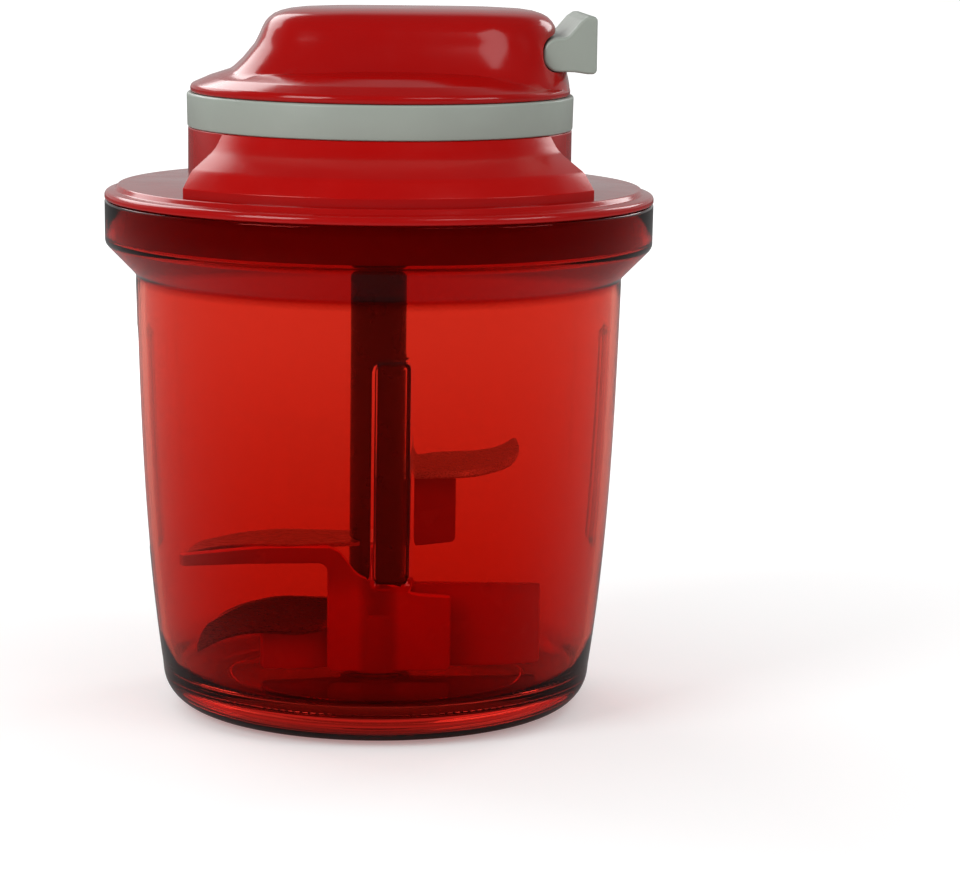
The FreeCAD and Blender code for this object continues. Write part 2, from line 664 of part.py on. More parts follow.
def make_cover_body():
    body = new_body("cover_body")
    skirt_outer = rim_inner - S["skirt_gap"]
    skirt_inner = skirt_outer - wall
    skirt_bottom = rim_seat - S["skirt_depth"]
    step_height = disc_top - S["disc_step"]
    step_radius = S["rim_radius"] - S["disc_step_inset"]
    turn(body, [
        (S["bush_radius"], hub_tube_bottom),
        (S["hub_tube_radius"], hub_tube_bottom),
        (S["hub_tube_radius"], disc_bottom),
        (skirt_inner, disc_bottom),
        (skirt_inner, skirt_bottom),
        (skirt_outer, skirt_bottom),
        (skirt_outer, rim_seat),
        (S["rim_radius"], rim_seat),
        (S["rim_radius"], step_height, S["disc_edge_round"]),
        (step_radius, step_height, S["disc_step"] / 4),
        (step_radius - S["disc_step"] / 2, disc_top, S["disc_step"] / 4),
        (S["housing_radius"], disc_top),
        (S["housing_radius"], housing_top),
        (housing_inner, housing_top),
        (housing_inner, disc_top),
        (S["hub_tube_radius"], disc_top),
        (S["hub_tube_radius"], hub_tube_top),
        (S["bush_radius"], hub_tube_top),
    ])
    knee = disc_top + S["fairing_knee_rise"]
    heel = disc_top + S["fairing_heel_rise"]
    foot = disc_top + S["fairing_step"]
    inside_housing = housing_inner + wall / 2
    turn(body, [
        (-inside_housing, disc_bottom + wall / 2),
        (-S["fairing_radius"], disc_bottom + wall / 2),
        (-S["fairing_radius"], foot, wall / 8),
        (-S["fairing_knee_radius"], knee, S["fairing_knee_rise"] * 1.2),
        (-S["fairing_heel_radius"], heel, S["fairing_knee_rise"]),
        (-S["housing_radius"], housing_top),
        (-inside_housing, housing_top),
    ], role="YZ_Plane", span=S["fairing_span"])
    end_wall = wall / S["fairing_radius"] * (180 / math.pi) * 2
    turn(body, [
        (-housing_inner + 1, disc_top),
        (-S["fairing_radius"] + wall, disc_top),
        (-S["fairing_radius"] + wall, foot - wall / 2),
        (-S["fairing_knee_radius"] + wall * 0.8, knee - wall * 0.8),
        (-S["fairing_heel_radius"] + wall * 0.6, heel - wall * 0.9),
        (-housing_inner + 1, housing_top - wall * 2),
    ], cut=True, role="YZ_Plane", span=S["fairing_span"] - end_wall * 2)
    places = post_places()
    add_posts(body, places, S["post_radius"], disc_bottom + wall / 2, deck_bottom)
    add_posts(body, places, S["screw_head_radius"] + gap, disc_bottom - 1, screw_seat, cut=True)
    add_posts(body, places, S["screw_radius"] + gap / 2, screw_seat - 1, deck_bottom + 1, cut=True)
    port = [(as_size(0), S["port_place"])]
    port_bottom = disc_top - S["port_depth"]
    add_posts(body, port, port_outer, port_bottom, disc_bottom + wall / 2)
    add_posts(body, port, S["port_radius"], port_bottom - 1, disc_top + 1, cut=True)
    pieces.append(body)


def make_band():
    body = new_body("cover_band")
    edge = S["band_wall"] / 6
    turn(body, [
        (band_inner, housing_top),
        (S["band_radius"], housing_top, edge),
        (S["band_radius"], band_top, edge),
        (band_inner, band_top),
    ])
    pieces.append(body)


def boss_section(body, height, flare):
    """The hand boss in plan at one height; a flare spreads to the left and front more than to the right."""
    right_flare = flare * 0.25 if flare.value > 0 else flare
    side_flare = flare * 0.7 if flare.value > 0 else flare
    left = S["boss_left"] + flare
    right = S["boss_right"] + right_flare
    half = S["boss_half_width"] + side_flare
    left_round = S["boss_left_corner"] + side_flare
    right_round = S["boss_right_corner"] + side_flare
    sketch = new_sketch(body, "XY_Plane", height)
    add_outline(sketch, [
        (right, -half, right_round),
        (right, half, right_round),
        (-left, half, left_round),
        (-left, -half, left_round),
    ])
    return sketch


def make_cap():
    body = new_body("cover_cap")
    skirt_radius = band_inner - gap / 2
    skirt_inner = skirt_radius - wall
    skirt_bottom = band_top - S["cap_skirt_drop"]
    rim_top = band_top + S["cap_rim_height"]
    turn(body, [
        (0, skirt_bottom),
        (skirt_radius, skirt_bottom),
        (skirt_radius, band_top),
        (S["cap_rim_radius"], band_top),
        (S["cap_rim_radius"], rim_top, S["cap_rim_height"] / 2),
        (S["cap_slope_radius"], cap_slope_height, S["cap_slope_radius"]),
        (0, cap_crown),
    ])
    # Shares of the boss's depth under its top, and of its flare there
    sections = [
        (1.0, 1.0),
        (0.83, 0.54),
        (0.714, 0.333),
        (0.514, 0.05),
        (0.3, -0.125),
        (0.167, -0.283),
        (0.086, -0.517),
        (0.033, -0.917),
        (0.0, -1.417),
    ]
    loft = body.newObject("PartDesign::AdditiveLoft", "Boss")
    sketches = []
    for depth, flare in sections:
        sketches.append(boss_section(body, boss_top - S["boss_depth"] * depth, S["boss_flare"] * flare))
    loft.Profile = sketches[0]
    loft.Sections = sketches[1:]
    use(body, loft)
    turn(body, [
        (0, skirt_bottom),
        (skirt_inner, skirt_bottom),
        (skirt_inner, band_top + wall / 4),
        (S["cap_slope_radius"], cap_slope_height - wall),
        (0, cap_crown - wall),
    ], cut=True)
    # Hollow of the boss: its right wall stands behind the grip's seat
    draft = S["cavity_draft"].tangent()
    hollow_right = seat_back - wall + draft * (cord_height - deck_top)
    hollow_left = S["boss_left"] - wall * 0.6
    hollow_half = S["boss_half_width"] - wall * 0.8
    hollow = new_sketch(body, "XY_Plane", deck_top)
    add_outline(hollow, [
        (hollow_right, -hollow_half, S["cavity_corner"]),
        (hollow_right, hollow_half, S["cavity_corner"]),
        (-hollow_left, hollow_half, S["cavity_corner"]),
        (-hollow_left, -hollow_half, S["cavity_corner"]),
    ])
    extrude(body, hollow, ceiling - deck_top, cut=True, taper=-S["cavity_draft"])
    add_posts(body, [(as_size(0), as_size(0))], S["arbor_radius"], ceiling - 1,
              ceiling + S["arbor_sink"], cut=True)
    places = post_places()
    dome_inside = cap_slope_height - wall / 2
    add_posts(body, places, S["post_radius"], deck_top, dome_inside)
    add_posts(body, places, S["screw_radius"], deck_top - 1, screw_tip, cut=True)
    deck_places = [(as_size(0), S["deck_screw_place"]), (as_size(0), -S["deck_screw_place"])]
    add_posts(body, deck_places, S["post_radius"] - 1, deck_top, dome_inside)
    add_posts(body, deck_places, S["deck_screw_radius"], deck_top - 1, screw_tip, cut=True)
    seat = new_sketch(body, "XZ_Plane")
    add_outline(seat, [
        (seat_back, cord_height - seat_radius * 1.001, seat_radius),
        (S["grip_plate_outer"], cord_height - seat_radius * 1.001),
        (S["grip_plate_outer"], cord_height + seat_radius * 1.001),
        (seat_back, cord_height + seat_radius * 1.001, seat_radius),
    ])
    extrude(body, seat, S["cap_rim_radius"] * 2, cut=True, both=True)
    eye = new_sketch(body, "YZ_Plane", seat_back - wall * 1.5)
    add_circle(eye, 0, cord_height, S["eyelet_radius"])
    extrude(body, eye, wall * 2, cut=True)
    spot = new_sketch(body, "YZ_Plane", seat_back - wall * 2)
    add_circle(spot, 0, cord_height, S["eyelet_flange_radius"] + gap / 2)
    extrude(body, spot, wall, cut=True)
    pieces.append(body)


def make_deck():
    body = new_body("deck_plate")
    radius = band_inner - gap / 2 - wall - gap
    turn(body, rectangle(S["bush_radius"], radius, deck_bottom, deck_top))
    add_posts(body, post_places(), S["screw_radius"] + gap / 2, deck_bottom - 1, deck_top + 1, cut=True)
    deck_places = [(as_size(0), S["deck_screw_place"]), (as_size(0), -S["deck_screw_place"])]
    add_posts(body, deck_places, S["deck_screw_radius"] + gap / 2, deck_bottom - 1, deck_top + 1, cut=True)
    pieces.append(body)


def make_bush(label, bottom, seat):
    """A plain bush with a flange on top that lies on its seat."""
    body = new_body(label)
    top = seat + S["bush_flange_height"]
    turn(body, [
        (shaft_hole, bottom),
        (S["bush_radius"], bottom),
        (S["bush_radius"], seat),
        (S["bush_flange"], seat),
        (S["bush_flange"], top),
        (shaft_hole, top),
    ])
    pieces.append(body)


def make_bearings():
    seal_top = hub_tube_bottom + S["seal_height"]
    make_bush("upper_bush", deck_bottom - S["bush_drop"], deck_top)
    make_bush("lower_bush", seal_top, hub_tube_top)
    ring("shaft_seal", shaft_hole, S["bush_radius"], hub_tube_bottom, seal_top)


def make_screws(label, places, radius, head_radius, head_height, seat, tip):
    screws = []
    for x, y in places:
        shank = cylinder("shank", radius, seat, tip, x, y)
        head = cylinder("head", head_radius, seat - head_height, seat, x, y)
        screws.append(boolean("Fuse", "screw", shank, head))
    group = doc.addObject("Part::Compound", label)
    group.Links = screws
    group.Label = label
    pieces.append(group)


def make_all_screws():
    make_screws("cover_screws", post_places(), S["screw_radius"], S["screw_head_radius"],
                S["screw_head_height"], screw_seat, screw_tip)
    deck_places = [(as_size(0), S["deck_screw_place"]), (as_size(0), -S["deck_screw_place"])]
    make_screws("deck_screws", deck_places, S["deck_screw_radius"], S["deck_screw_head"],
                S["screw_head_height"], deck_bottom, screw_tip)


# Cord mechanism -------------------------------------------------------------------------------------
def make_arbor():
    body = new_body("spring_arbor")
    flange_bottom = ceiling - S["arbor_sink"]
    turn(body, [
        (0, arbor_bottom),
        (S["arbor_radius"], arbor_bottom),
        (S["arbor_radius"], flange_bottom),
        (S["arbor_flange_radius"], flange_bottom),
        (S["arbor_flange_radius"], ceiling),
        (S["arbor_radius"], ceiling),
        (S["arbor_radius"], ceiling + S["arbor_sink"]),
        (0, ceiling + S["arbor_sink"]),
    ])
    pieces.append(body)


def make_reel():
    drum = new_body("reel_drum")
    flange_bottom = slot_bottom - S["reel_flange_height"]
    turn(drum, [
        (0, reel_hub_bottom),
        (S["reel_hub_radius"], reel_hub_bottom),
        (S["reel_hub_radius"], flange_bottom),
        (S["reel_flange_radius"], flange_bottom),
        (S["reel_flange_radius"], slot_bottom),
        (S["reel_drum_radius"], slot_bottom),
        (S["reel_drum_radius"], slot_top),
        (S["reel_spring_radius"], slot_top),
        (S["reel_spring_radius"], slot_bottom),
        (0, slot_bottom),
    ])
    key = new_sketch(drum, "XY_Plane", reel_hub_bottom - 1)
    add_hexagon(key, S["shaft_hex"])
    extrude(drum, key, slot_bottom - reel_hub_bottom + 2, cut=True)
    pieces.append(drum)
    ring("reel_lid", S["arbor_radius"] + S["running_gap"], S["reel_flange_radius"],
         slot_top, slot_top + S["reel_flange_height"])
    winding_radius = S["cord_radius"] + S["cord_diameter"] / 2
    winding = new_body("cord_turns")
    turn(winding, rectangle(S["reel_drum_radius"], winding_radius, slot_bottom + gap / 2, slot_top - gap / 2))
    pieces.append(boolean("Cut", "cord_winding", winding, make_cord()))
    ring("reel_washer", shaft_hole, S["bush_flange"], bush_top + S["running_gap"] / 2,
         bush_top + S["running_gap"] / 2 + S["washer_height"])


def half_turns(first, last, turns):
    """Half circles, end to end, whose radius grows evenly from first to last."""
    steps = int(turns * 2)
    grow = (last - first) / steps
    arcs = []
    start_x = first
    for i in range(steps):
        sign = 1 if i % 2 == 0 else -1
        radius = first + grow * (i + 0.5)
        end_x = start_x - 2 * radius * sign
        middle = Vector((start_x + end_x) / 2, radius * sign, 0)
        arcs.append(Part.Arc(Vector(start_x, 0, 0), middle, Vector(end_x, 0, 0)))
        start_x = end_x
    return arcs


def make_return_spring():
    """A flat spiral from the pin to the drum."""
    strip = S["spring_strip"].value
    turns = int(S["spring_turns"].value)
    inner = S["arbor_radius"].value
    outer = S["reel_spring_radius"].value - strip
    inner_arcs = half_turns(inner + 0.1, outer - 0.1, turns)
    outer_arcs = half_turns(inner + 0.1 + strip, outer - 0.1 + strip, turns)
    edges = [arc.toShape() for arc in inner_arcs]
    edges += [arc.toShape() for arc in outer_arcs]
    edges.append(Part.makeLine(inner_arcs[0].StartPoint, outer_arcs[0].StartPoint))
    edges.append(Part.makeLine(inner_arcs[-1].EndPoint, outer_arcs[-1].EndPoint))
    face = Part.Face(Part.Wire(Part.__sortEdges__(edges)))
    feature = doc.addObject("Part::Feature", "return_spring")
    feature.Shape = face.extrude(Vector(0, 0, S["spring_height"].value))
    low = cord_height - S["spring_height"] / 2
    feature.Placement = FreeCAD.Placement(Vector(0, 0, low.value), FreeCAD.Rotation())
    pieces.append(feature)


def make_shaft():
    body = new_body("drive_shaft")
    groove_radius = S["shaft_radius"] - S["clip_groove"]
    clip_top = deck_bottom - S["bush_drop"] - S["running_gap"]
    clip_bottom = clip_top - S["clip_height"]
    turn(body, [
        (0, shaft_hex_top),
        (S["shaft_radius"], shaft_hex_top),
        (S["shaft_radius"], clip_bottom),
        (groove_radius, clip_bottom),
        (groove_radius, clip_top),
        (S["shaft_radius"], clip_top),
        (S["shaft_radius"], reel_hub_bottom),
        (0, reel_hub_bottom),
    ])
    lower = new_sketch(body, "XY_Plane", shaft_bottom)
    add_hexagon(lower, S["shaft_hex"])
    extrude(body, lower, shaft_hex_top - shaft_bottom)
    upper = new_sketch(body, "XY_Plane", reel_hub_bottom)
    add_hexagon(upper, S["shaft_hex"])
    extrude(body, upper, slot_bottom - reel_hub_bottom)
    pieces.append(body)
    ring("shaft_clip", groove_radius, S["clip_radius"], clip_bottom, clip_top)


def lay_along_x(body, x, height):
    """Turn a body's own Z axis to +X and move its origin to (x, 0, height)."""
    body.Placement = FreeCAD.Placement(Vector(), FreeCAD.Rotation(Vector(0, 1, 0), 90))
    bind(body, "Placement.Base.x", x)
    bind(body, "Placement.Base.z", height)


def make_eyelet():
    body = new_body("cord_eyelet")
    flange = wall / 3
    length = wall + flange
    turn(body, [
        (S["eyelet_bore"], 0),
        (S["eyelet_flange_radius"], 0),
        (S["eyelet_flange_radius"], flange),
        (S["eyelet_radius"], flange),
        (S["eyelet_radius"], length),
        (S["eyelet_bore"], length),
    ])
    lay_along_x(body, seat_back - length, cord_height)
    pieces.append(body)


def make_cord():
    """The cord from the reel, straight to the eyelet and on along X to its knot in the grip."""
    height = cord_height.value
    winding = S["cord_radius"].value
    bend_at = seat_back.value - wall.value
    leave = math.acos(winding / bend_at)
    start = Vector(winding * math.cos(leave), -winding * math.sin(leave), height)
    corner = Vector(bend_at, 0, height)
    knot_back = S["grip_split"].value - 2 * S["knot_radius"].value - S["knot_gap"].value
    end = Vector(knot_back, 0, height)
    inward = (start - corner).normalize()
    onward = (end - corner).normalize()
    reach = 0.45 * (end - corner).Length
    half = inward.getAngle(onward) / 2
    radius = reach * math.tan(half)
    bisector = (inward + onward).normalize()
    arc_middle = corner + bisector * (radius / math.sin(half) - radius)
    arc_start = corner + inward * reach
    arc_end = corner + onward * reach
    path = Part.Wire([
        Part.makeLine(start, arc_start),
        Part.Arc(arc_start, arc_middle, arc_end).toShape(),
        Part.makeLine(arc_end, end),
    ])
    section = Part.Wire(Part.makeCircle(S["cord_diameter"].value / 2, start, arc_start - start))
    feature = doc.addObject("Part::Feature", "pull_cord")
    feature.Shape = path.makePipeShell([section], True, True)
    print("cord bend radius", round(radius, 1), "length", round(path.Length, 1))
    pieces.append(feature)
    return feature


# Grip -----------------------------------------------------------------------------------------------
def make_grip():
    body = new_body("pull_grip")
    nose = S["grip_nose_radius"]
    nose_x = S["seat_place"] - nose
    nose_half = nose * 1.005
    bar_edge = S["grip_plate_inner"]
    outline = new_sketch(body, "XZ_Plane")
    add_outline(outline, [
        (nose_x, cord_height - nose_half, nose),
        (bar_edge, cord_height - nose_half),
        (bar_edge, grip_plate_bottom),
        (S["grip_split"], grip_plate_bottom),
        (S["grip_split"], grip_plate_top),
        (bar_edge + gap, grip_plate_top - gap),
        (bar_edge - gap * 3, grip_plate_top - gap * 6),
        (bar_edge - gap * 9, cord_height + nose_half),
        (nose_x, cord_height + nose_half, nose),
    ])
    extrude(body, outline, S["grip_half_width"] * 2, both=True)
    knot_room = S["knot_radius"] + S["knot_gap"]
    pocket_depth = knot_room * 2
    pocket = new_sketch(body, "YZ_Plane", S["grip_split"] - pocket_depth)
    add_circle(pocket, 0, cord_height, knot_room)
    extrude(body, pocket, pocket_depth + 1, cut=True)
    hole = new_sketch(body, "YZ_Plane", nose_x - 1)
    add_circle(hole, 0, cord_height, S["cord_diameter"] / 2 + gap / 4)
    extrude(body, hole, S["grip_split"] - nose_x, cut=True)
    pieces.append(body)

    plate = new_body("grip_plate")
    face = new_sketch(plate, "XZ_Plane")
    add_outline(face, [
        (S["grip_split"], grip_plate_bottom),
        (S["grip_plate_outer"], grip_plate_bottom + gap),
        (S["grip_plate_outer"], grip_plate_top - gap),
        (S["grip_split"], grip_plate_top),
    ])
    extrude(plate, face, S["grip_half_width"] * 2, both=True)
    pieces.append(plate)

    knot = doc.addObject("Part::Sphere", "cord_knot")
    knot.Label = "cord_knot"
    bind(knot, "Radius", S["knot_radius"])
    bind(knot, "Placement.Base.x", S["grip_split"] - S["knot_radius"] - S["knot_gap"])
    bind(knot, "Placement.Base.z", cord_height)
    pieces.append(knot)


def check_model():
    doc.recompute()
    for thing in doc.Objects:
        if "Invalid" in thing.State or "Error" in thing.State:
            parent = thing.getParentGeoFeatureGroup()
            raise RuntimeError(f"{thing.Label} of {parent.Label if parent else None} failed: {thing.State}")
        if thing.TypeId in ("PartDesign::Groove", "PartDesign::Pocket"):
            before = thing.BaseFeature.Shape.Volume
            if before - thing.Shape.Volume < 0.5:
                raise RuntimeError(f"{thing.Name} in {thing.getParentGeoFeatureGroup().Label} cuts nothing")
    for piece in pieces:
        shape = piece.Shape
        if shape.isNull() or not shape.isValid():
            raise RuntimeError(f"{piece.Label} is not a valid shape")


def main():
    make_bowl()
    make_blade_unit()
    make_cover_body()
    make_band()
    make_cap()
    make_deck()
    make_bearings()
    make_all_screws()
    make_arbor()
    make_reel()
    make_return_spring()
    make_shaft()
    make_eyelet()
    make_grip()
    check_model()
    os.makedirs("parts", exist_ok=True)
    for piece in pieces:
        shape = piece.Shape
        box = shape.BoundBox
        print(f"{piece.Label:15s} solids {len(shape.Solids)} volume {shape.Volume:9.1f} "
              f"x {box.XMin:.1f}..{box.XMax:.1f} y {box.YMin:.1f}..{box.YMax:.1f} "
              f"z {box.ZMin:.1f}..{box.ZMax:.1f}")
        shape.exportStep(f"parts/{piece.Label}.step")


main()
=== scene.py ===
from math import atan2, cos, degrees, hypot, radians, sin, tan

import bmesh
import bpy
from mathutils import Matrix, Vector


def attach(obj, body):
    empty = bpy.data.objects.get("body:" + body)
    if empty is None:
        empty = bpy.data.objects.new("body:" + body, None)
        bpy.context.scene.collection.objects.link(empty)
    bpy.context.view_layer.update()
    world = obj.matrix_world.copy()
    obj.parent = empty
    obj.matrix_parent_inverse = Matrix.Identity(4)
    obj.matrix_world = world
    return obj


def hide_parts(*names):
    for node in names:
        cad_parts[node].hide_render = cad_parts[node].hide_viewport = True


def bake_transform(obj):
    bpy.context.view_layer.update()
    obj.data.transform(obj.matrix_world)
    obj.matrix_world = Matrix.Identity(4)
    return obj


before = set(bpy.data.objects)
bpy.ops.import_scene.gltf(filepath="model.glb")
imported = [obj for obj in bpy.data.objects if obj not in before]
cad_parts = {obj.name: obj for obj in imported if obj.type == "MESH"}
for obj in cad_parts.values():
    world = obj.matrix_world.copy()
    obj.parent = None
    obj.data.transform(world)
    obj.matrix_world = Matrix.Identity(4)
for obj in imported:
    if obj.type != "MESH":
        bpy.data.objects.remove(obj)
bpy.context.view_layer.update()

# Pull-cord food chopper. Sizes are in millimetres, as in the part's source, and MM makes them metres.

MM = 0.001


# ---------------------------------------------------------------- how a piece is modelled

def only(*pieces):
    """Leave just these pieces selected, the first of them active."""
    bpy.ops.object.select_all(action="DESELECT")
    for piece in pieces:
        piece.select_set(True)
    bpy.context.view_layer.objects.active = pieces[0]


def edit(piece):
    only(piece)
    bpy.ops.object.mode_set(mode="EDIT")


def pick(piece, wanted, kind="VERT"):
    """Select the vertices, edges or faces whose middle passes the test. The piece is in edit mode."""
    bpy.ops.mesh.select_mode(type=kind)
    bpy.ops.mesh.select_all(action="DESELECT")
    mesh = bmesh.from_edit_mesh(piece.data)
    if kind == "VERT":
        for vertex in mesh.verts:
            vertex.select_set(wanted(vertex.co / MM))
    elif kind == "EDGE":
        for edge in mesh.edges:
            edge.select_set(wanted((edge.verts[0].co + edge.verts[1].co) / 2 / MM, edge))
    else:
        for face in mesh.faces:
            face.select_set(wanted(face.calc_center_median() / MM, face.normal))
    bmesh.update_edit_mesh(piece.data)


def rounded(corners, closed=True):
    """Points of an outline. A corner is (across, up), or (across, up, round) or (..., round, steps)."""
    points = []
    count = len(corners)
    for i, corner in enumerate(corners):
        here = Vector(corner[:2])
        ends = not closed and i in (0, count - 1)
        if len(corner) == 2 or ends:
            points.append(here)
            continue
        radius = corner[2]
        steps = corner[3] if len(corner) > 3 else 6
        back = (Vector(corners[i - 1][:2]) - here).normalized()
        ahead = (Vector(corners[(i + 1) % count][:2]) - here).normalized()
        half = back.angle(ahead) / 2
        centre = here + (back + ahead).normalized() * (radius / sin(half))
        first = here + back * (radius / tan(half)) - centre
        last = here + ahead * (radius / tan(half)) - centre
        turn = first.angle_signed(last)
        for k in range(steps + 1):
            a = -turn * k / steps
            across = first.x * cos(a) - first.y * sin(a)
            up = first.x * sin(a) + first.y * cos(a)
            points.append(centre + Vector((across, up)))
    return points


def wire(name, points, closed=True, plane="XZ", at=0.0):
    """A line drawn vertex by vertex: in XZ at a y, in XY at a z, or in a plane through Z at an angle."""
    def place(point):
        across, up = point
        if plane == "XZ":
            return Vector((across, at, up)) * MM
        if plane == "XY":
            return Vector((across, up, at)) * MM
        return Vector((across * cos(radians(at)), across * sin(radians(at)), up)) * MM

    bpy.ops.object.select_all(action="DESELECT")
    bpy.ops.mesh.primitive_plane_add(size=1 * MM, location=place(points[0]))
    piece = bpy.context.object
    piece.name = name
    piece.data.name = name
    bpy.ops.object.transform_apply(location=True, rotation=True, scale=True)
    bpy.ops.object.mode_set(mode="EDIT")
    bpy.ops.mesh.select_mode(type="VERT")
    bpy.ops.mesh.select_all(action="SELECT")
    bpy.ops.mesh.merge(type="CENTER")
    for here, there in zip(points, points[1:]):
        bpy.ops.mesh.extrude_region_move(TRANSFORM_OT_translate={"value": place(there) - place(here)})
    if closed:
        ends = (place(points[0]), place(points[-1]))
        pick(piece, lambda v: min((v * MM - end).length for end in ends) < 0.002 * MM)
        bpy.ops.mesh.edge_face_add()
    bpy.ops.mesh.select_all(action="SELECT")
    return piece


def close_up(piece, smooth=35):
    """Merge doubles, point the faces outwards and shade by angle. Leaves the piece in object mode."""
    bpy.ops.mesh.select_mode(type="VERT")
    bpy.ops.mesh.select_all(action="SELECT")
    bpy.ops.mesh.remove_doubles(threshold=0.004 * MM)
    bpy.ops.mesh.normals_make_consistent(inside=False)
    bpy.ops.object.mode_set(mode="OBJECT")
    soften(piece, smooth)
    return piece


def soften(piece, smooth=35):
    only(piece)
    bpy.ops.object.shade_smooth_by_angle(angle=radians(smooth))
    return piece


def turned(name, corners, closed=True, steps=160, arc=360.0, start=0.0, smooth=35):
    """A piece turned about the axis of the blades from its section. A part turn has flat ends."""
    piece = wire(name, rounded(corners, closed), closed, "TURN", start)
    if arc < 359.9:
        bpy.ops.mesh.edge_face_add()
    bpy.ops.mesh.spin(steps=steps, angle=radians(arc), center=(0, 0, 0), axis=(0, 0, -1))
    return close_up(piece, smooth)


def slab(name, corners, low, high, plane="XZ", smooth=35):
    """A plate: an outline filled and extruded from low to high, square to its plane."""
    piece = wire(name, rounded(corners), plane=plane, at=low)
    bpy.ops.mesh.edge_face_add()
    along = Vector((0, high - low, 0)) if plane == "XZ" else Vector((0, 0, high - low))
    bpy.ops.mesh.extrude_region_move(TRANSFORM_OT_translate={"value": along * MM})
    return close_up(piece, smooth)


def apply(piece, kind, **settings):
    """Add one modifier and apply it."""
    modifier = piece.modifiers.new(kind.title(), kind)
    for key, value in settings.items():
        setattr(modifier, key, value)
    only(piece)
    bpy.ops.object.modifier_apply(modifier=modifier.name)
    return piece


def cut(piece, tool):
    apply(piece, "BOOLEAN", operation="DIFFERENCE", object=tool, solver="EXACT")
    bpy.data.objects.remove(tool)
    return piece


def weld(piece, other):
    apply(piece, "BOOLEAN", operation="UNION", object=other, solver="EXACT")
    bpy.data.objects.remove(other)
    return piece


def ease(piece, width, steps=3, angle=40):
    """A small round on every sharp edge."""
    apply(piece, "BEVEL", width=width * MM, segments=steps, limit_method="ANGLE", angle_limit=radians(angle),
          miter_outer="MITER_ARC", use_clamp_overlap=True)
    return soften(piece, 40)


# ---------------------------------------------------------------- finishes

class Finish:
    """A node material with one Principled shader, and short names for what feeds it."""

    def __init__(self, name, colour, rough, **shader):
        self.material = bpy.data.materials.new(name)
        self.material.use_nodes = True
        self.nodes = self.material.node_tree.nodes
        self.links = self.material.node_tree.links
        self.shader = self.nodes["Principled BSDF"]
        self.output = self.nodes["Material Output"]
        self.shader.inputs["Base Color"].default_value = (*colour, 1)
        self.shader.inputs["Roughness"].default_value = rough
        for key, value in shader.items():
            self.shader.inputs[key.replace("_", " ")].default_value = value
        self.place = self.nodes.new("ShaderNodeTexCoord").outputs["Object"]

    def stretched(self, x, y, z):
        mapping = self.nodes.new("ShaderNodeMapping")
        mapping.inputs["Scale"].default_value = (x, y, z)
        self.links.new(self.place, mapping.inputs["Vector"])
        return mapping.outputs["Vector"]

    def noise(self, scale, detail=2.0, place=None):
        """Noise with its grain given in grains per metre."""
        texture = self.nodes.new("ShaderNodeTexNoise")
        texture.inputs["Scale"].default_value = scale
        texture.inputs["Detail"].default_value = detail
        self.links.new(place or self.place, texture.inputs["Vector"])
        return texture.outputs["Fac"]

    def spread(self, value, low, high, start=0.3, stop=0.7):
        change = self.nodes.new("ShaderNodeMapRange")
        for key, number in (("From Min", start), ("From Max", stop), ("To Min", low), ("To Max", high)):
            change.inputs[key].default_value = number
        self.links.new(value, change.inputs["Value"])
        return change.outputs["Result"]

    def tinted(self, value, first, second, start=0.3, stop=0.7):
        ramp = self.nodes.new("ShaderNodeValToRGB")
        ramp.color_ramp.elements[0].position = start
        ramp.color_ramp.elements[1].position = stop
        ramp.color_ramp.elements[0].color = (*first, 1)
        ramp.color_ramp.elements[1].color = (*second, 1)
        self.links.new(value, ramp.inputs["Fac"])
        self.links.new(ramp.outputs["Color"], self.shader.inputs["Base Color"])
        return ramp

    def mixed(self, value, first, second):
        """A colour between two, by a value."""
        mix = self.nodes.new("ShaderNodeMix")
        mix.data_type = "RGBA"
        mix.inputs[6].default_value = (*first, 1)
        mix.inputs[7].default_value = (*second, 1)
        self.links.new(value, mix.inputs["Factor"])
        return mix.outputs[2]

    def blended(self, value, first, second):
        """Base colour between two colours that are nodes' outputs."""
        mix = self.nodes.new("ShaderNodeMix")
        mix.data_type = "RGBA"
        self.links.new(value, mix.inputs["Factor"])
        self.links.new(first, mix.inputs[6])
        self.links.new(second, mix.inputs[7])
        self.links.new(mix.outputs[2], self.shader.inputs["Base Color"])

    def height(self):
        apart = self.nodes.new("ShaderNodeSeparateXYZ")
        self.links.new(self.place, apart.inputs[0])
        return apart.outputs["Z"]

    def larger(self, first, second):
        most = self.nodes.new("ShaderNodeMath")
        most.operation = "MAXIMUM"
        self.links.new(first, most.inputs[0])
        self.links.new(second, most.inputs[1])
        return most.outputs[0]

    def roughened(self, value, low, high):
        self.links.new(self.spread(value, low, high), self.shader.inputs["Roughness"])

    def bumped(self, value, depth, strength=0.5):
        bump = self.nodes.new("ShaderNodeBump")
        bump.inputs["Distance"].default_value = depth * MM
        bump.inputs["Strength"].default_value = strength
        self.links.new(value, bump.inputs["Height"])
        self.links.new(bump.outputs["Normal"], self.shader.inputs["Normal"])
        return bump


def moulded(name, light, dark, rough, grain, depth, **shader):
    """Moulded plastic: faint cloud in the colour, uneven gloss and a fine grain."""
    finish = Finish(name, light, rough, **shader)
    finish.tinted(finish.noise(45, 3), dark, light)
    finish.roughened(finish.noise(120, 2), rough * 0.85, rough * 1.2)
    finish.bumped(finish.noise(grain, 2), depth, 0.35)
    return finish.material


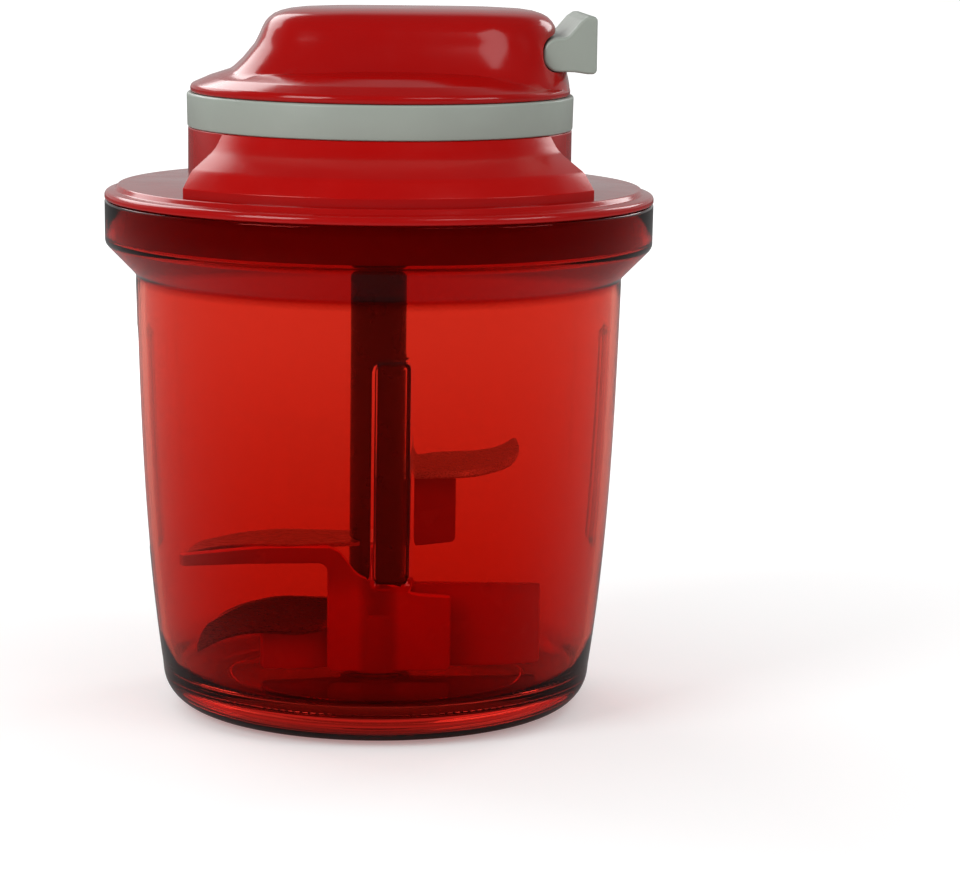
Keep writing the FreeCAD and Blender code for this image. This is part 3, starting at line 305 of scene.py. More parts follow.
def clear_red():
    """The bowl's tinted clear plastic, painted deeper in the rim and the foot and darkest at the bottom as
    painted shade, and painted lighter up the wall as painted light. Lamps shine through it, tinted.
    """
    finish = Finish("clear_red_bowl", (0.80, 0.16, 0.13), 0.02, IOR=1.49, Transmission_Weight=1.0,
                    Specular_IOR_Level=0.5, Specular_Tint=(0.70, 0.065, 0.05, 1))
    # Painted light and shade: the wall's red is painted lighter towards the top and deeper low down.
    low = finish.spread(finish.height(), 0.0, 1.0, 0.112, 0.030)
    side = finish.mixed(low, (0.665, 0.128, 0.087), (0.60, 0.056, 0.030))
    # Deep red for rim and foot: painted shade where the cover's skirt sits behind the rim and where the bowl
    # meets the floor, with some real depth of the foot's thicker plastic.
    thick_and_shaded = finish.mixed(finish.noise(30, 2), (0.34, 0.008, 0.005), (0.38, 0.011, 0.007))
    rim = finish.spread(finish.height(), 0.0, 1.0, 0.1205, 0.1230)
    foot = finish.spread(finish.height(), 0.0, 1.0, 0.017, 0.008)
    # Painted shadow: the bottom is painted darkest, for the shade under the bowl.
    under = finish.spread(finish.height(), 0.0, 1.0, 0.0082, 0.0045)
    bottom_shade = finish.mixed(under, (0.45, 0.012, 0.008), (0.08, 0.002, 0.001))
    finish.blended(finish.larger(rim, foot), side, thick_and_shaded)
    finish.blended(foot, finish.shader.inputs["Base Color"].links[0].from_socket, bottom_shade)
    finish.roughened(finish.noise(90, 2, finish.stretched(1, 1, 0.25)), 0.004, 0.022)
    finish.bumped(finish.noise(38, 1.0), 0.35, 0.12)
    see_through = finish.nodes.new("ShaderNodeBsdfTransparent")
    see_through.inputs["Color"].default_value = (0.60, 0.36, 0.34, 1)
    path = finish.nodes.new("ShaderNodeLightPath")
    mix = finish.nodes.new("ShaderNodeMixShader")
    finish.links.new(path.outputs["Is Shadow Ray"], mix.inputs["Fac"])
    finish.links.new(finish.shader.outputs["BSDF"], mix.inputs[1])
    finish.links.new(see_through.outputs["BSDF"], mix.inputs[2])
    finish.links.new(mix.outputs["Shader"], finish.output.inputs["Surface"])
    return finish.material


def column_red():
    """Moulded red of the blade unit, painted nearly black round the axis as painted shade, with some real
    darkening of the solid plastic there, and painted lighter in the fins, lightest in the low fins, as
    painted light.
    """
    finish = Finish("red_column_painted_shade", (0.24, 0.008, 0.007), 0.22)
    flat = finish.nodes.new("ShaderNodeVectorMath")
    flat.operation = "LENGTH"
    finish.links.new(finish.stretched(1, 1, 0), flat.inputs[0])
    # Painted shade: the middle round the axis is painted nearly black, fading out towards the fins.
    shade_to_lit = finish.spread(flat.outputs["Value"], 0.0, 1.0, 0.0085, 0.0115)
    # Painted light: the fins are painted lighter, the low fins lightest.
    low = finish.spread(finish.height(), 0.0, 1.0, 0.038, 0.031)
    lit_fin_tint = finish.mixed(low, (0.41, 0.012, 0.008), (0.63, 0.022, 0.011))
    thick_and_shaded = finish.mixed(finish.noise(60, 3), (0.018, 0.0010, 0.0010), (0.026, 0.0013, 0.0013))
    finish.blended(shade_to_lit, thick_and_shaded, lit_fin_tint)
    finish.roughened(finish.noise(160, 4), 0.18, 0.30)
    finish.bumped(finish.noise(700, 2), 0.02, 0.3)
    return finish.material


def painted_glow_edge():
    """Edge of the moulding, painted bright with a faint glow: painted light standing in for light that runs
    inside the plate and comes out here.
    """
    finish = Finish("painted_glow_column_edge", (0.85, 0.05, 0.035), 0.3, Emission_Color=(0.9, 0.03, 0.02, 1),
                    Emission_Strength=0.12)
    finish.tinted(finish.noise(90, 2), (0.78, 0.040, 0.028), (0.90, 0.060, 0.042))
    finish.roughened(finish.noise(160, 3), 0.25, 0.38)
    return finish.material


def ground_steel():
    finish = Finish("ground_blade_steel", (0.62, 0.61, 0.60), 0.28, Metallic=1.0)
    along = finish.noise(5200, 2, finish.stretched(0.05, 1, 1))
    finish.roughened(along, 0.24, 0.34)
    finish.tinted(along, (0.50, 0.49, 0.48), (0.56, 0.55, 0.54))
    finish.bumped(along, 0.002, 0.2)
    return finish.material


def braid():
    finish = Finish("braided_cord", (0.80, 0.78, 0.72), 0.8, Sheen_Weight=0.3)
    wave = finish.nodes.new("ShaderNodeTexWave")
    wave.bands_direction = "DIAGONAL"
    wave.inputs["Scale"].default_value = 380
    wave.inputs["Distortion"].default_value = 1.5
    finish.links.new(finish.place, wave.inputs["Vector"])
    finish.tinted(wave.outputs["Fac"], (0.62, 0.60, 0.54), (0.84, 0.82, 0.77))
    finish.bumped(wave.outputs["Fac"], 0.25, 0.7)
    return finish.material


CLEAR = clear_red()
GLOSS = moulded("glossy_red_plastic", (0.375, 0.0020, 0.0015), (0.35, 0.0016, 0.0012), 0.14, 900, 0.015,
                Specular_IOR_Level=0.42)
SATIN = moulded("satin_red_fairing", (0.42, 0.0024, 0.0018), (0.39, 0.0020, 0.0015), 0.20, 1100, 0.010,
                Specular_IOR_Level=0.42, Specular_Tint=(1.0, 0.52, 0.48, 1))
COLUMN = column_red()
# EDGE is the painted glow and highlight on the blade moulding's upward faces.
EDGE = painted_glow_edge()
GREY = moulded("grey_green_trim", (0.325, 0.365, 0.32), (0.305, 0.34, 0.30), 0.36, 1400, 0.02)
INNER = moulded("inner_black_plastic", (0.05, 0.05, 0.052), (0.035, 0.035, 0.037), 0.45, 900, 0.05)
ACETAL = moulded("white_acetal", (0.78, 0.77, 0.72), (0.72, 0.71, 0.66), 0.3, 700, 0.03)
RUBBER = moulded("soft_grey_rubber", (0.10, 0.095, 0.095), (0.07, 0.067, 0.067), 0.62, 1100, 0.08)
STEEL = ground_steel()
CORD = braid()


def finish_with(piece, *materials):
    piece.data.materials.clear()
    for material in materials:
        piece.data.materials.append(material)


def finish_part(piece, wanted):
    """Give the piece's second material to the faces that pass the test."""
    edit(piece)
    pick(piece, wanted, "FACE")
    bpy.ops.object.mode_set(mode="OBJECT")
    for face in piece.data.polygons:
        face.material_index = 1 if face.select else 0


# ---------------------------------------------------------------- camera, studio

def camera():
    data = bpy.data.cameras.new("camera")
    data.sensor_width = 36.0
    data.sensor_fit = "HORIZONTAL"
    data.lens = 126.6
    data.clip_start = 0.05
    view = bpy.data.objects.new("camera", data)
    bpy.context.collection.objects.link(view)
    right = Vector((0.9959, -0.0895, 0.01295)).normalized()
    ahead = Vector((0.09041, 0.98205, -0.16552)).normalized()
    up = right.cross(ahead)
    turn = Matrix((right, up, -ahead)).transposed()
    view.matrix_world = Matrix.Translation(Vector((-57.92, -946.99, 233.29)) * MM) @ turn.to_4x4()
    bpy.context.scene.camera = view
    bpy.context.scene.view_settings.view_transform = "Standard"


def lamp(name, place, aim, size, watts, tall=None, roll=0.0):
    data = bpy.data.lights.new(name, "AREA")
    data.shape = "RECTANGLE"
    data.size = size
    data.size_y = tall or size
    data.energy = watts
    light = bpy.data.objects.new(name, data)
    bpy.context.collection.objects.link(light)
    light.location = place
    facing = (Vector(aim) - Vector(place)).to_track_quat("-Z", "Y")
    light.rotation_euler = (facing @ Matrix.Rotation(radians(roll), 3, "Z").to_quaternion()).to_euler()


def studio():
    """A pale floor that keeps the shadow, a white surround and soft lamps."""
    bpy.ops.object.select_all(action="DESELECT")
    bpy.ops.mesh.primitive_circle_add(vertices=96, radius=6.0, fill_type="NGON", location=(0, 0, 0))
    floor = bpy.context.object
    floor.name = "floor"
    paper = bpy.data.materials.new("pale_floor")
    paper.use_nodes = True
    nodes, links = paper.node_tree.nodes, paper.node_tree.links
    diffuse = nodes.new("ShaderNodeBsdfDiffuse")
    diffuse.inputs["Color"].default_value = (0.86, 0.86, 0.86, 1)
    path = nodes.new("ShaderNodeLightPath")
    # Glossy surfaces see the floor painted dark grey instead of pale: painted shade in their reflections.
    reflection_shade = nodes.new("ShaderNodeMix")
    reflection_shade.data_type = "RGBA"
    reflection_shade.inputs[6].default_value = (0.86, 0.86, 0.86, 1)
    reflection_shade.inputs[7].default_value = (0.26, 0.26, 0.26, 1)
    links.new(path.outputs["Is Glossy Ray"], reflection_shade.inputs["Factor"])
    mirrored = nodes.new("ShaderNodeBsdfDiffuse")
    links.new(reflection_shade.outputs[2], mirrored.inputs["Color"])
    glow = nodes.new("ShaderNodeEmission")
    glow.inputs["Color"].default_value = (1, 1, 1, 1)
    place = nodes.new("ShaderNodeTexCoord")
    reach = nodes.new("ShaderNodeVectorMath")
    reach.operation = "LENGTH"
    links.new(place.outputs["Object"], reach.inputs[0])
    far = nodes.new("ShaderNodeMapRange")
    for key, number in (("From Min", 0.1), ("From Max", 1.4), ("To Min", 0.2), ("To Max", 0.72)):
        far.inputs[key].default_value = number
    links.new(reach.outputs["Value"], far.inputs["Value"])
    links.new(far.outputs["Result"], glow.inputs["Strength"])
    both = nodes.new("ShaderNodeAddShader")
    links.new(diffuse.outputs[0], both.inputs[0])
    links.new(glow.outputs[0], both.inputs[1])
    seen = nodes.new("ShaderNodeMath")
    seen.operation = "MAXIMUM"
    links.new(path.outputs["Is Camera Ray"], seen.inputs[0])
    links.new(path.outputs["Is Transmission Ray"], seen.inputs[1])
    mix = nodes.new("ShaderNodeMixShader")
    links.new(seen.outputs[0], mix.inputs["Fac"])
    links.new(mirrored.outputs[0], mix.inputs[1])
    links.new(both.outputs[0], mix.inputs[2])
    links.new(mix.outputs[0], nodes["Material Output"].inputs["Surface"])
    nodes.remove(nodes["Principled BSDF"])
    finish_with(floor, paper)

    world = bpy.data.worlds.new("surround")
    bpy.context.scene.world = world
    world.use_nodes = True
    nodes, links = world.node_tree.nodes, world.node_tree.links
    room = nodes["Background"]
    room.inputs["Color"].default_value = (1, 1, 1, 1)
    place = nodes.new("ShaderNodeTexCoord")
    apart = nodes.new("ShaderNodeSeparateXYZ")
    links.new(place.outputs["Generated"], apart.inputs[0])
    parts = []
    for axis, start, stop in (("Y", -0.1, 0.7), ("Z", 0.78, 0.47)):
        part = nodes.new("ShaderNodeMapRange")
        part.interpolation_type = "SMOOTHSTEP"
        part.inputs["From Min"].default_value = start
        part.inputs["From Max"].default_value = stop
        links.new(apart.outputs[axis], part.inputs["Value"])
        parts.append(part.outputs["Result"])
    backdrop = nodes.new("ShaderNodeMath")
    backdrop.operation = "MULTIPLY"
    links.new(parts[0], backdrop.inputs[0])
    links.new(parts[1], backdrop.inputs[1])
    level = nodes.new("ShaderNodeMapRange")
    level.inputs["To Min"].default_value = 0.08
    level.inputs["To Max"].default_value = 0.5
    links.new(backdrop.outputs["Value"], level.inputs["Value"])
    path = nodes.new("ShaderNodeLightPath")
    fill = nodes.new("ShaderNodeMix")
    fill.inputs["B"].default_value = 0.5
    links.new(path.outputs["Is Diffuse Ray"], fill.inputs["Factor"])
    links.new(level.outputs["Result"], fill.inputs["A"])
    links.new(fill.outputs["Result"], room.inputs["Strength"])
    white = nodes.new("ShaderNodeBackground")
    white.inputs["Color"].default_value = (1, 1, 1, 1)
    white.inputs["Strength"].default_value = 1.0
    path = nodes.new("ShaderNodeLightPath")
    seen = nodes.new("ShaderNodeMath")
    seen.operation = "MAXIMUM"
    links.new(path.outputs["Is Camera Ray"], seen.inputs[0])
    links.new(path.outputs["Is Transmission Ray"], seen.inputs[1])
    mix = nodes.new("ShaderNodeMixShader")
    links.new(seen.outputs[0], mix.inputs["Fac"])
    links.new(room.outputs[0], mix.inputs[1])
    links.new(white.outputs[0], mix.inputs[2])
    links.new(mix.outputs[0], nodes["World Output"].inputs["Surface"])

    lamp("left_softbox", (-0.80, -0.65, 0.65), (0, 0, 0.12), 0.5, 6.2, 0.7)
    lamp("right_softbox", (1.05, -0.60, 0.60), (0, 0, 0.12), 0.5, 2.8, 0.5)
    lamp("front_right_panel", (0.44, -0.68, 0.98), (0.02, 0, 0.18), 0.42, 1.2, 0.40, 25)
    lamp("back_left_panel", (-0.56, 0.84, 0.74), (0, 0, 0.17), 0.9, 4.6, 0.5)
    lamp("back_right_panel", (0.80, 0.76, 0.66), (0, 0, 0.17), 0.4, 2.0, 0.4)


# ---------------------------------------------------------------- bowl

def side_line(height):
    """Outside radius of the bowl's side: it swells fast over the foot and slowly under the shoulder."""
    below = (122.6 - height) / 110.6
    return 68.4 - 3.0 * below - 4.4 * below ** 3


WALL = 2.3
FLUTE_MIDDLE = 76.6     # height of the flutes' middle
FLUTE_REACH = 31.4      # from there to each end
FLUTE_HALF = 5.9        # half width
FLUTE_CORNER = 3.2      # round of the corners
FLUTE_DEPTH = 1.6
FLUTE_EASE = 1.7        # width of the sloped side


def bowl():
    """Turned in one, with fine steps where the four flutes are pressed in afterwards."""
    rows = [12 + 1.5 * i for i in range(20)] + [42 + 0.9 * i for i in range(78)] + [113, 117, 121]
    outer = [(side_line(z), z) for z in rows]
    inner = [(side_line(z) - WALL, z) for z in rows if z > 20]
    corners = [(0, 4.2), (42.4, 4.2, 0.8), (42.4, 0.6, 0.4), (43.6, 0.6), (43.6, 2.2), (46.8, 2.2)]
    corners += [(46.8, 0.6), (59.9, 0.6, 10.5, 12)] + outer
    corners += [(68.3, 123.2, 2.2), (76.9, 132.0, 2.5), (77, 144.1, 0.8), (74.8, 144.1, 0.8)]
    corners += [(74.8, 133.4, 2.0), (66.1, 123.6, 2.2)] + inner[::-1]
    corners += [(side_line(8) - WALL - 0.6, 8.0, 9.7, 12), (7.0, 8.0, 1.5), (4.0, 11.0, 1.2)]
    corners += [(4.0, 40.0, 0.6), (0, 40.0)]
    fine, step = 6.4, 0.4
    piece = wire("clear_bowl", rounded(corners, closed=False), False, "TURN", -fine)
    for quarter in range(4):
        bpy.ops.mesh.spin(steps=int(2 * fine / step), angle=radians(2 * fine), center=(0, 0, 0),
                          axis=(0, 0, -1))
        bpy.ops.mesh.spin(steps=30, angle=radians(90 - 2 * fine), center=(0, 0, 0), axis=(0, 0, -1))
    close_up(piece, 40)
    press_flutes(piece)
    finish_with(piece, CLEAR)
    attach(piece, "bowl")
    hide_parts("bowl")
    return piece


def press_flutes(piece):
    """Four flat-bottomed flutes with eased sides, pressed through both skins of the wall."""
    outside = piece.vertex_groups.new(name="outside")
    inside = piece.vertex_groups.new(name="inside")
    for vertex in piece.data.vertices:
        x, y, z = vertex.co / MM
        across = hypot(x, y)
        if across < 50 or not 36 < z < 112:
            continue
        turn = (degrees(atan2(y, x)) + 45) % 90 - 45
        beside = abs(across * radians(turn)) - FLUTE_HALF + FLUTE_CORNER
        above = abs(z - FLUTE_MIDDLE) - FLUTE_REACH + FLUTE_CORNER
        away = hypot(max(beside, 0), max(above, 0)) + min(max(beside, above), 0) - FLUTE_CORNER
        part = min(max(-away / FLUTE_EASE, 0), 1)
        if part > 0.01:
            skin = inside if across < side_line(z) - WALL / 2 else outside
            skin.add([vertex.index], part * part * (3 - 2 * part), "REPLACE")
    for group, depth in (("outside", -FLUTE_DEPTH), ("inside", FLUTE_DEPTH)):
        apply(piece, "DISPLACE", vertex_group=group, strength=depth * MM, mid_level=0, direction="NORMAL")
    piece.vertex_groups.clear()


def foot_ring():
    """Rubber ring in the groove of the foot, with a rounded underside."""
    piece = turned("rubber_foot_ring", [
        (43.6, 0.0, 0.5, 3), (46.8, 0.0, 0.5, 3), (46.8, 2.15), (43.6, 2.15)], steps=128)
    finish_with(piece, RUBBER)
    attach(piece, "bowl")
    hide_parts("non_skid_ring")


# ---------------------------------------------------------------- cover

PORT_PLACE = (0, 62.3, 0)       # the fill port's axis, at the back of the disc


def cover_body():
    """Disc, skirt and round housing turned in one, with the sloped fairing over the front."""
    piece = turned("cover_shell", [
        (8.0, 138.6), (12.0, 138.6, 0.6), (12.0, 145.8, 1.0), (71.9, 145.8), (71.9, 133.6, 0.5),
        (74.3, 133.6, 0.5), (74.3, 144.3), (77.0, 144.3, 0.4), (77.0, 146.3, 1.2), (74.1, 146.9, 0.5),
        (73.2, 148.2, 0.7), (53.7, 148.2, 0.6), (53.7, 164.4, 0.4), (51.3, 164.4, 0.4),
        (51.3, 148.2, 0.6), (12.0, 148.2, 0.6), (12.0, 152.0, 0.5), (8.0, 152.0)], steps=240)
    weld(piece, fairing())
    bpy.ops.object.select_all(action="DESELECT")
    tube = turned("port_tube", [(0, 140.2), (9.5, 140.2, 0.4), (9.5, 147.4), (0, 147.4)],
                  closed=False, steps=48)
    weld(piece, moved(tube, PORT_PLACE))
    bore = turned("port_bore", [(0, 136.0), (8.3, 136.0), (8.3, 148.0), (9.0, 148.7), (0, 148.7)],
                  closed=False, steps=48)
    cut(piece, moved(bore, PORT_PLACE))
    soften(piece, 30)
    finish_with(piece, GLOSS, SATIN)
    finish_part(piece, on_fairing)
    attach(piece, "cover")
    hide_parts("cover_body")


def moved(piece, place):
    only(piece)
    piece.location = Vector(place) * MM
    bpy.ops.object.transform_apply(location=True, rotation=True, scale=True)
    return piece


def on_fairing(place, normal):
    """Faces of the sloped front, whichever way they face."""
    across = hypot(place.x, place.y)
    return place.y < -25 and across > 54.2 and place.z > 150.2 and across < 71


def fairing():
    """Sloped front of the cover: turned as a sector, and its ends cut upright and eased."""
    piece = turned("fairing", [
        (52.5, 147.2), (70.4, 147.2), (70.4, 150.7, 0.5, 4), (66.8, 155.2, 5.0), (57.2, 160.4, 10.0, 8),
        (54.3, 164.2), (52.5, 164.2)], steps=128, arc=124, start=-152)
    edit(piece)
    for side in (-1, 1):
        bpy.ops.mesh.select_all(action="SELECT")
        bpy.ops.mesh.bisect(plane_co=(44.34 * side * MM, -30.47 * MM, 0),
                            plane_no=(0.7657 * side, 0.6432, 0.0), use_fill=True, clear_outer=True,
                            threshold=0.001 * MM)
    close_up(piece, 30)
    ease(piece, 0.9, 4, 50)
    return piece


def band():
    """Grey band between housing and cap, with a fine lip on its upper edge."""
    piece = turned("grey_band", [
        (51.2, 164.45), (53.9, 164.45, 0.5), (54.1, 173.9, 0.7, 6), (51.2, 173.9, 0.2)], steps=240)
    finish_with(piece, GREY)
    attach(piece, "cover")
    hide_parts("cover_band")


# ---------------------------------------------------------------- cap with the hand boss

# height, reach to -X, reach to +X, half width of the boss, from the slope of the cap up to its crown
BOSS_RINGS = [
    (175.6, 47.2, 52.4, 35.7), (177.0, 46.2, 52.3, 35.0), (178.9, 43.4, 52.0, 33.2),
    (180.6, 40.9, 51.6, 31.5), (183.0, 38.4, 51.0, 29.8), (187.2, 35.0, 50.2, 27.4),
    (189.6, 33.8, 49.5, 26.4), (191.7, 32.9, 48.8, 25.5), (193.4, 32.0, 48.1, 24.6),
    (194.5, 31.0, 47.4, 23.6), (195.6, 29.6, 46.3, 22.2), (196.4, 27.7, 44.9, 20.3),
    (197.05, 25.3, 42.8, 18.0), (197.55, 21.5, 39.4, 15.0), (197.85, 15.5, 33.5, 11.5),
    (198.0, 6.0, 23.0, 6.0)]


def boss():
    """Hand boss: a plate with round corners, drawn up ring by ring and crowned."""
    height, left, right, half = BOSS_RINGS[0]
    bpy.ops.object.select_all(action="DESELECT")
    bpy.ops.mesh.primitive_plane_add(size=1.0, location=(0, 0, 0))
    piece = bpy.context.object
    piece.name = "boss"
    piece.scale = ((left + right) * MM, 2 * half * MM, 1)
    piece.location = ((right - left) / 2 * MM, 0, height * MM)
    bpy.ops.object.transform_apply(location=True, rotation=True, scale=True)
    bpy.ops.object.mode_set(mode="EDIT")
    for behind, size in ((True, 26.0), (False, 30.0)):
        pick(piece, lambda v: (v.x < 0) == behind)
        bpy.ops.mesh.bevel(offset=size * MM, segments=14, affect="VERTICES")
    bpy.ops.mesh.select_mode(type="FACE")
    bpy.ops.mesh.select_all(action="SELECT")
    for new_height, new_left, new_right, new_half in BOSS_RINGS[1:]:
        bpy.ops.mesh.extrude_region_move(TRANSFORM_OT_translate={"value": (0, 0, (new_height - height) * MM)})
        grow = (new_left + new_right) / (left + right)
        bpy.ops.transform.resize(value=(grow, new_half / half, 1), center_override=(0, 0, 0))
        bpy.ops.transform.translate(value=((new_right - new_left - (right - left) * grow) / 2 * MM, 0, 0))
        height, left, right, half = new_height, new_left, new_right, new_half
    return close_up(piece, 60)


def cap():
    """Shell over the reel: rim and slope turned, boss welded on, hollow and the grip's seat cut out."""
    piece = turned("cover_cap_shell", [
        (0, 168.3), (51.0, 168.3), (51.0, 173.95), (53.0, 174.05, 0.4, 3), (53.2, 176.0, 1.4, 8),
        (48.0, 178.3, 12.0, 6), (41.0, 180.6, 20.0, 6), (0, 184.0)], closed=False, steps=240, smooth=50)
    weld(piece, boss())
    inside = turned("hollow", [(0, 167.0), (48.6, 167.0), (48.6, 174.0, 2.0), (41.0, 177.6, 3.0), (0, 177.6)],
                    closed=False, steps=96)
    cut(piece, inside)
    bpy.ops.object.select_all(action="DESELECT")
    bpy.ops.mesh.primitive_cube_add(size=1.0, location=(-1.0 * MM, 0, 185.6 * MM))
    room = bpy.context.object
    room.name = "reel_room"
    room.scale = (58 * MM, 45 * MM, 19.6 * MM)
    bpy.ops.object.transform_apply(location=True, rotation=True, scale=True)
    bpy.ops.object.mode_set(mode="EDIT")
    pick(room, lambda v: v.z > 190)
    bpy.ops.transform.resize(value=(0.86, 0.86, 1), center_override=(-1.0 * MM, 0, 0))
    pick(room, lambda place, edge: abs((edge.verts[0].co - edge.verts[1].co).z) > 0.01, "EDGE")
    bpy.ops.mesh.bevel(offset=10 * MM, segments=8, affect="EDGES")
    close_up(room, 40)
    cut(piece, room)
    seat = slab("seat", [
        (43.4, 180.9, 4.2, 12), (70, 180.9), (70, 196.5), (51.0, 196.5), (47.2, 190.9, 1.5, 5),
        (43.4, 190.5, 4.3, 12)], -40, 40)
    cut(piece, seat)
    hole = turned("cord_hole", [(0, 30.0), (3.0, 30.0), (3.0, 60.0), (0, 60.0)], closed=False, steps=32)
    only(hole)
    hole.rotation_euler = (0, radians(90), 0)
    hole.location = (0, 0, 187 * MM)
    bpy.ops.object.transform_apply(location=True, rotation=True, scale=True)
    cut(piece, hole)
    soften(piece, 40)
    finish_with(piece, GLOSS)
    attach(piece, "cover")
    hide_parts("cover_cap")


# ---------------------------------------------------------------- pull grip

GRIP_HALF = 19      # half the grip's width
GRIP_ROUND = 0.7


def round_ends(piece, joint):
    """Rounds the outline of both ends of a piece that lies along Y, but not where it meets the next one."""
    edit(piece)
    pick(piece, lambda place, edge: abs(abs(place.y) - GRIP_HALF) < 0.01 and abs(place.x - joint) > 0.05,
         "EDGE")
    bpy.ops.mesh.bevel(offset=GRIP_ROUND * MM, segments=4, affect="EDGES")
    return close_up(piece, 40)


def grip():
    """Grip with a round nose that lies in the seat and flares up to its end plate."""
    piece = slab("grip_nose", [
        (43.7, 181.2, 4.1, 12), (52.5, 181.0, 2.0), (56.0, 180.5), (56.0, 196.4), (54.2, 195.2, 1.6),
        (50.2, 190.5, 3.0), (43.7, 190.2, 4.3, 12)], -GRIP_HALF, GRIP_HALF)
    round_ends(piece, 56.0)
    finish_with(piece, GREY)
    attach(piece, "grip")
    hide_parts("pull_grip")
    plate = slab("grip_end_plate", [
        (56.01, 180.5), (58.6, 180.5, 1.3), (58.6, 196.4, 1.3), (56.01, 196.4)], -GRIP_HALF, GRIP_HALF)
    round_ends(plate, 56.01)
    finish_with(plate, GREY)
    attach(plate, "grip")
    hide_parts("grip_plate")


def cord():
    """Cord from its winding to the eyelet and on to the knot. It runs out between cover and grip."""
    lean = radians(22.8)
    bpy.ops.object.select_all(action="DESELECT")
    bpy.ops.mesh.primitive_circle_add(vertices=16, radius=0.9 * MM, fill_type="NGON",
                                      rotation=(0, radians(90), lean),
                                      location=Vector((6.4, -15.2, 187)) * MM)
    piece = bpy.context.object
    piece.name = "braided_pull_cord"
    bpy.ops.object.transform_apply(location=True, rotation=True, scale=True)
    bpy.ops.object.mode_set(mode="EDIT")
    bpy.ops.mesh.select_all(action="SELECT")
    bpy.ops.mesh.extrude_region_move(TRANSFORM_OT_translate={"value": Vector((33.1, 13.96, 0)) * MM})
    bpy.ops.mesh.spin(steps=8, angle=lean, center=Vector((45.66, -15.9, 187)) * MM, axis=(0, 0, 1))
    bpy.ops.mesh.extrude_region_move(TRANSFORM_OT_translate={"value": Vector((5.3, 0, 0)) * MM})
    close_up(piece, 50)
    finish_with(piece, CORD)
    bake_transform(piece)
    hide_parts("pull_cord")


# ---------------------------------------------------------------- blade unit

def fin(reach, low, high, turn):
    """Upright plate that carries a blade, from inside the column outwards."""
    piece = slab("fin", [(6.2, low), (reach, low, 1.5), (reach, high, 0.6), (6.2, high)], -1.3, 1.3)
    ease(piece, 0.5, 3, 50)
    return spun(piece, turn)


def spun(piece, turn, lean=0.0, lift=0.0):
    """Leaned about its own length, raised, and turned about the axis of the blades."""
    only(piece)
    piece.matrix_world = (Matrix.Translation((0, 0, lift * MM)) @ Matrix.Rotation(radians(turn), 4, "Z")
                          @ Matrix.Rotation(radians(lean), 4, "X"))
    bpy.ops.object.transform_apply(location=True, rotation=True, scale=True)
    return piece


def front_fin():
    """Front plate, whose upper edge drops in a curve from the root of the arm."""
    piece = slab("front_fin", [
        (-14.5, 10.4, 2.0), (20.6, 10.4, 2.0), (20.6, 31.9, 0.8), (11.0, 32.6, 20.0), (4.0, 34.6, 14.0),
        (-6.0, 38.2, 8.0), (-11.0, 45.0, 4.0), (-14.5, 46.6, 4.0), (-19.5, 46.6), (-19.5, 41.7),
        (-14.5, 41.7, 2.5, 8)], -9.7, -7.1)
    return ease(piece, 0.45, 3, 50)


def arm():
    """Arm that bends forward under the left blade and thins towards its end."""
    piece = slab("arm", [
        (-15.5, -7.12), (-34.0, -7.12, 32.6, 14), (-55.75, -17.24, 0.4), (-54.65, -19.6, 1.0),
        (-33.4, -9.68, 30.0, 14), (-15.5, -9.68)], 41.72, 46.58, "XY")
    edit(piece)
    bpy.ops.mesh.select_all(action="SELECT")
    bpy.ops.mesh.bisect(plane_co=Vector((-32, 0, 41.72)) * MM, plane_no=(-0.0628, 0, -0.998), use_fill=True,
                        clear_outer=True, threshold=0.001 * MM)
    close_up(piece)
    return ease(piece, 0.45, 3, 50)


# reach, lower edge, upper edge and degrees from +X of the side fin, the high fin and the low fin
FINS = [(46.9, 10.4, 34.5, -5.2), (26.0, 43.8, 66.2, 27.5), (34.0, 10.4, 25.9, 192.8)]


def blade_moulding():
    """Column on its collar, bored for the peg and for the hexagon of the shaft, and its fins."""
    piece = turned("blade_column_moulding", [
        (0, 40.4), (4.05, 40.4), (4.05, 10.7), (7.4, 10.7), (7.4, 9.2), (10.4, 9.2, 0.8), (10.4, 26.0, 2.0),
        (7.9, 29.0, 3.0), (7.9, 134.0, 0.6), (0, 134.0)], closed=False, steps=96)
    weld(piece, front_fin())
    weld(piece, arm())
    for reach, low, high, turn in FINS:
        weld(piece, fin(reach, low, high, turn))
    bpy.ops.object.select_all(action="DESELECT")
    bpy.ops.mesh.primitive_cylinder_add(vertices=6, radius=4.85 * MM, depth=22 * MM,
                                        location=(0, 0, 125 * MM))
    socket = bpy.context.object
    bpy.ops.object.transform_apply(location=True, rotation=True, scale=True)
    cut(piece, socket)
    soften(piece, 35)
    # The upward faces get the second material: a painted glow and painted highlight.
    finish_with(piece, COLUMN, EDGE)
    finish_part(piece, on_painted_glow_edge)
    return piece


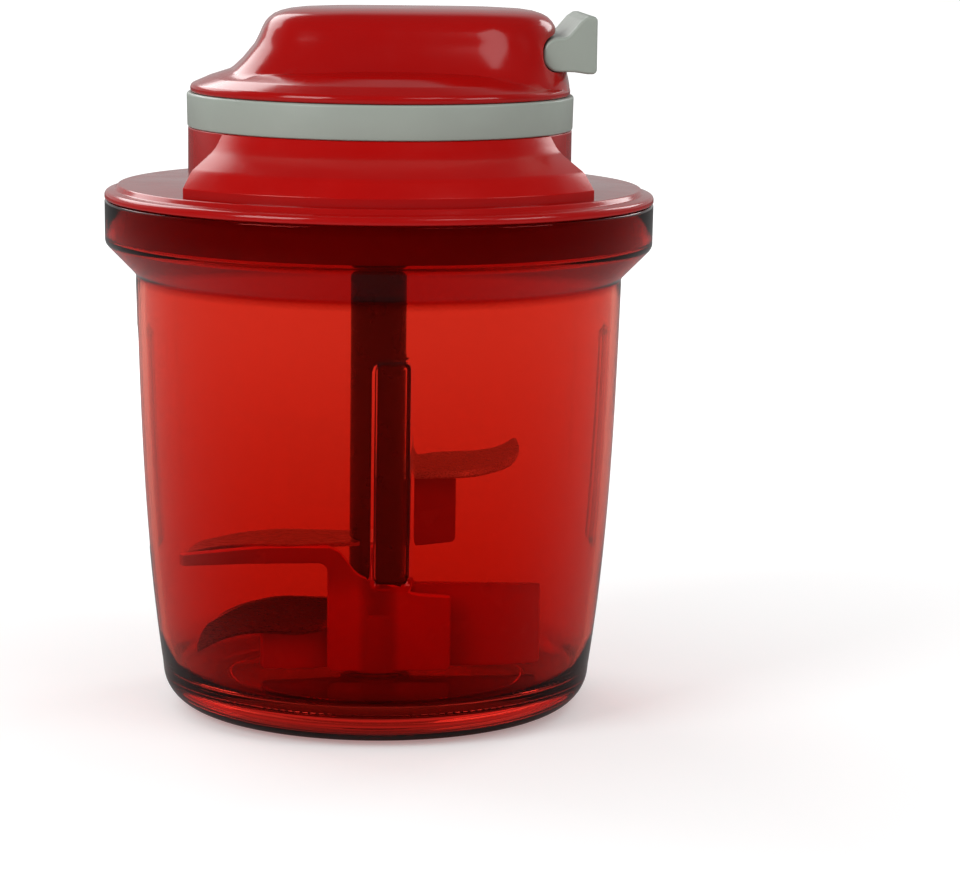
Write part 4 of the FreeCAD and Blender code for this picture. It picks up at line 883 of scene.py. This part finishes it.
def on_painted_glow_edge(place, normal):
    """Upward faces of the arm and of the front and high fins, which get the painted glow and painted
    highlight.
    """
    return (normal.z > 0.25 and 28 < place.z < 60 and hypot(place.x, place.y) > 8.2
            and (place.z > 40 or place.y < -7))


def blade(name, height, turn, lean):
    """Sickle of sheet steel: ground to an edge along the side that leads."""
    piece = slab(name, [
        (5.6, -5.8), (27.5, -8.3, 25), (49.5, -3.4, 25), (55.0, 12.6, 0.6), (42.9, 5.1, 25), (24.8, 7.6, 25),
        (5.6, 5.8)], 0.0, 1.2, "XY", 30)
    edit(piece)
    pick(piece, lambda place, edge: place.z > 1.1 and place.y < -1 and place.x > 9 and
         abs(edge.verts[0].co.z - edge.verts[1].co.z) < 0.01 * MM, "EDGE")
    bpy.ops.mesh.bevel(offset=2.2 * MM, offset_type="WIDTH", segments=1, affect="EDGES")
    close_up(piece, 20)
    return spun(piece, turn, lean, height)


def blade_unit():
    moulding = blade_moulding()
    for name, height, turn, lean in (("high_blade", 66.0, 27.5, 15.0), ("left_blade", 46.9, 183.5, -8.0),
                                     ("low_blade", 25.8, 192.8, -34.0)):
        piece = blade("sickle_" + name, height, turn, lean)
        finish_with(piece, STEEL)
        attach(piece, "blade_unit")
        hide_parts(name)
    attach(moulding, "blade_unit")
    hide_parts("blade_column")


# ---------------------------------------------------------------- pieces kept from the frame

KEPT = {
    "deck_plate": INNER, "upper_bush": ACETAL, "lower_bush": ACETAL, "shaft_seal": RUBBER,
    "cover_screws": STEEL, "deck_screws": STEEL, "spring_arbor": STEEL, "cord_eyelet": STEEL,
    "reel_drum": ACETAL, "reel_lid": ACETAL, "cord_winding": CORD, "reel_washer": STEEL,
    "return_spring": STEEL, "drive_shaft": ACETAL, "shaft_clip": STEEL, "cord_knot": CORD,
}


def kept_pieces():
    for name, material in KEPT.items():
        node = bpy.data.objects.get(name)
        for slot in node.material_slots:
            slot.material = material


camera()
studio()
bowl()
foot_ring()
cover_body()
band()
cap()
blade_unit()
grip()
cord()
kept_pieces()
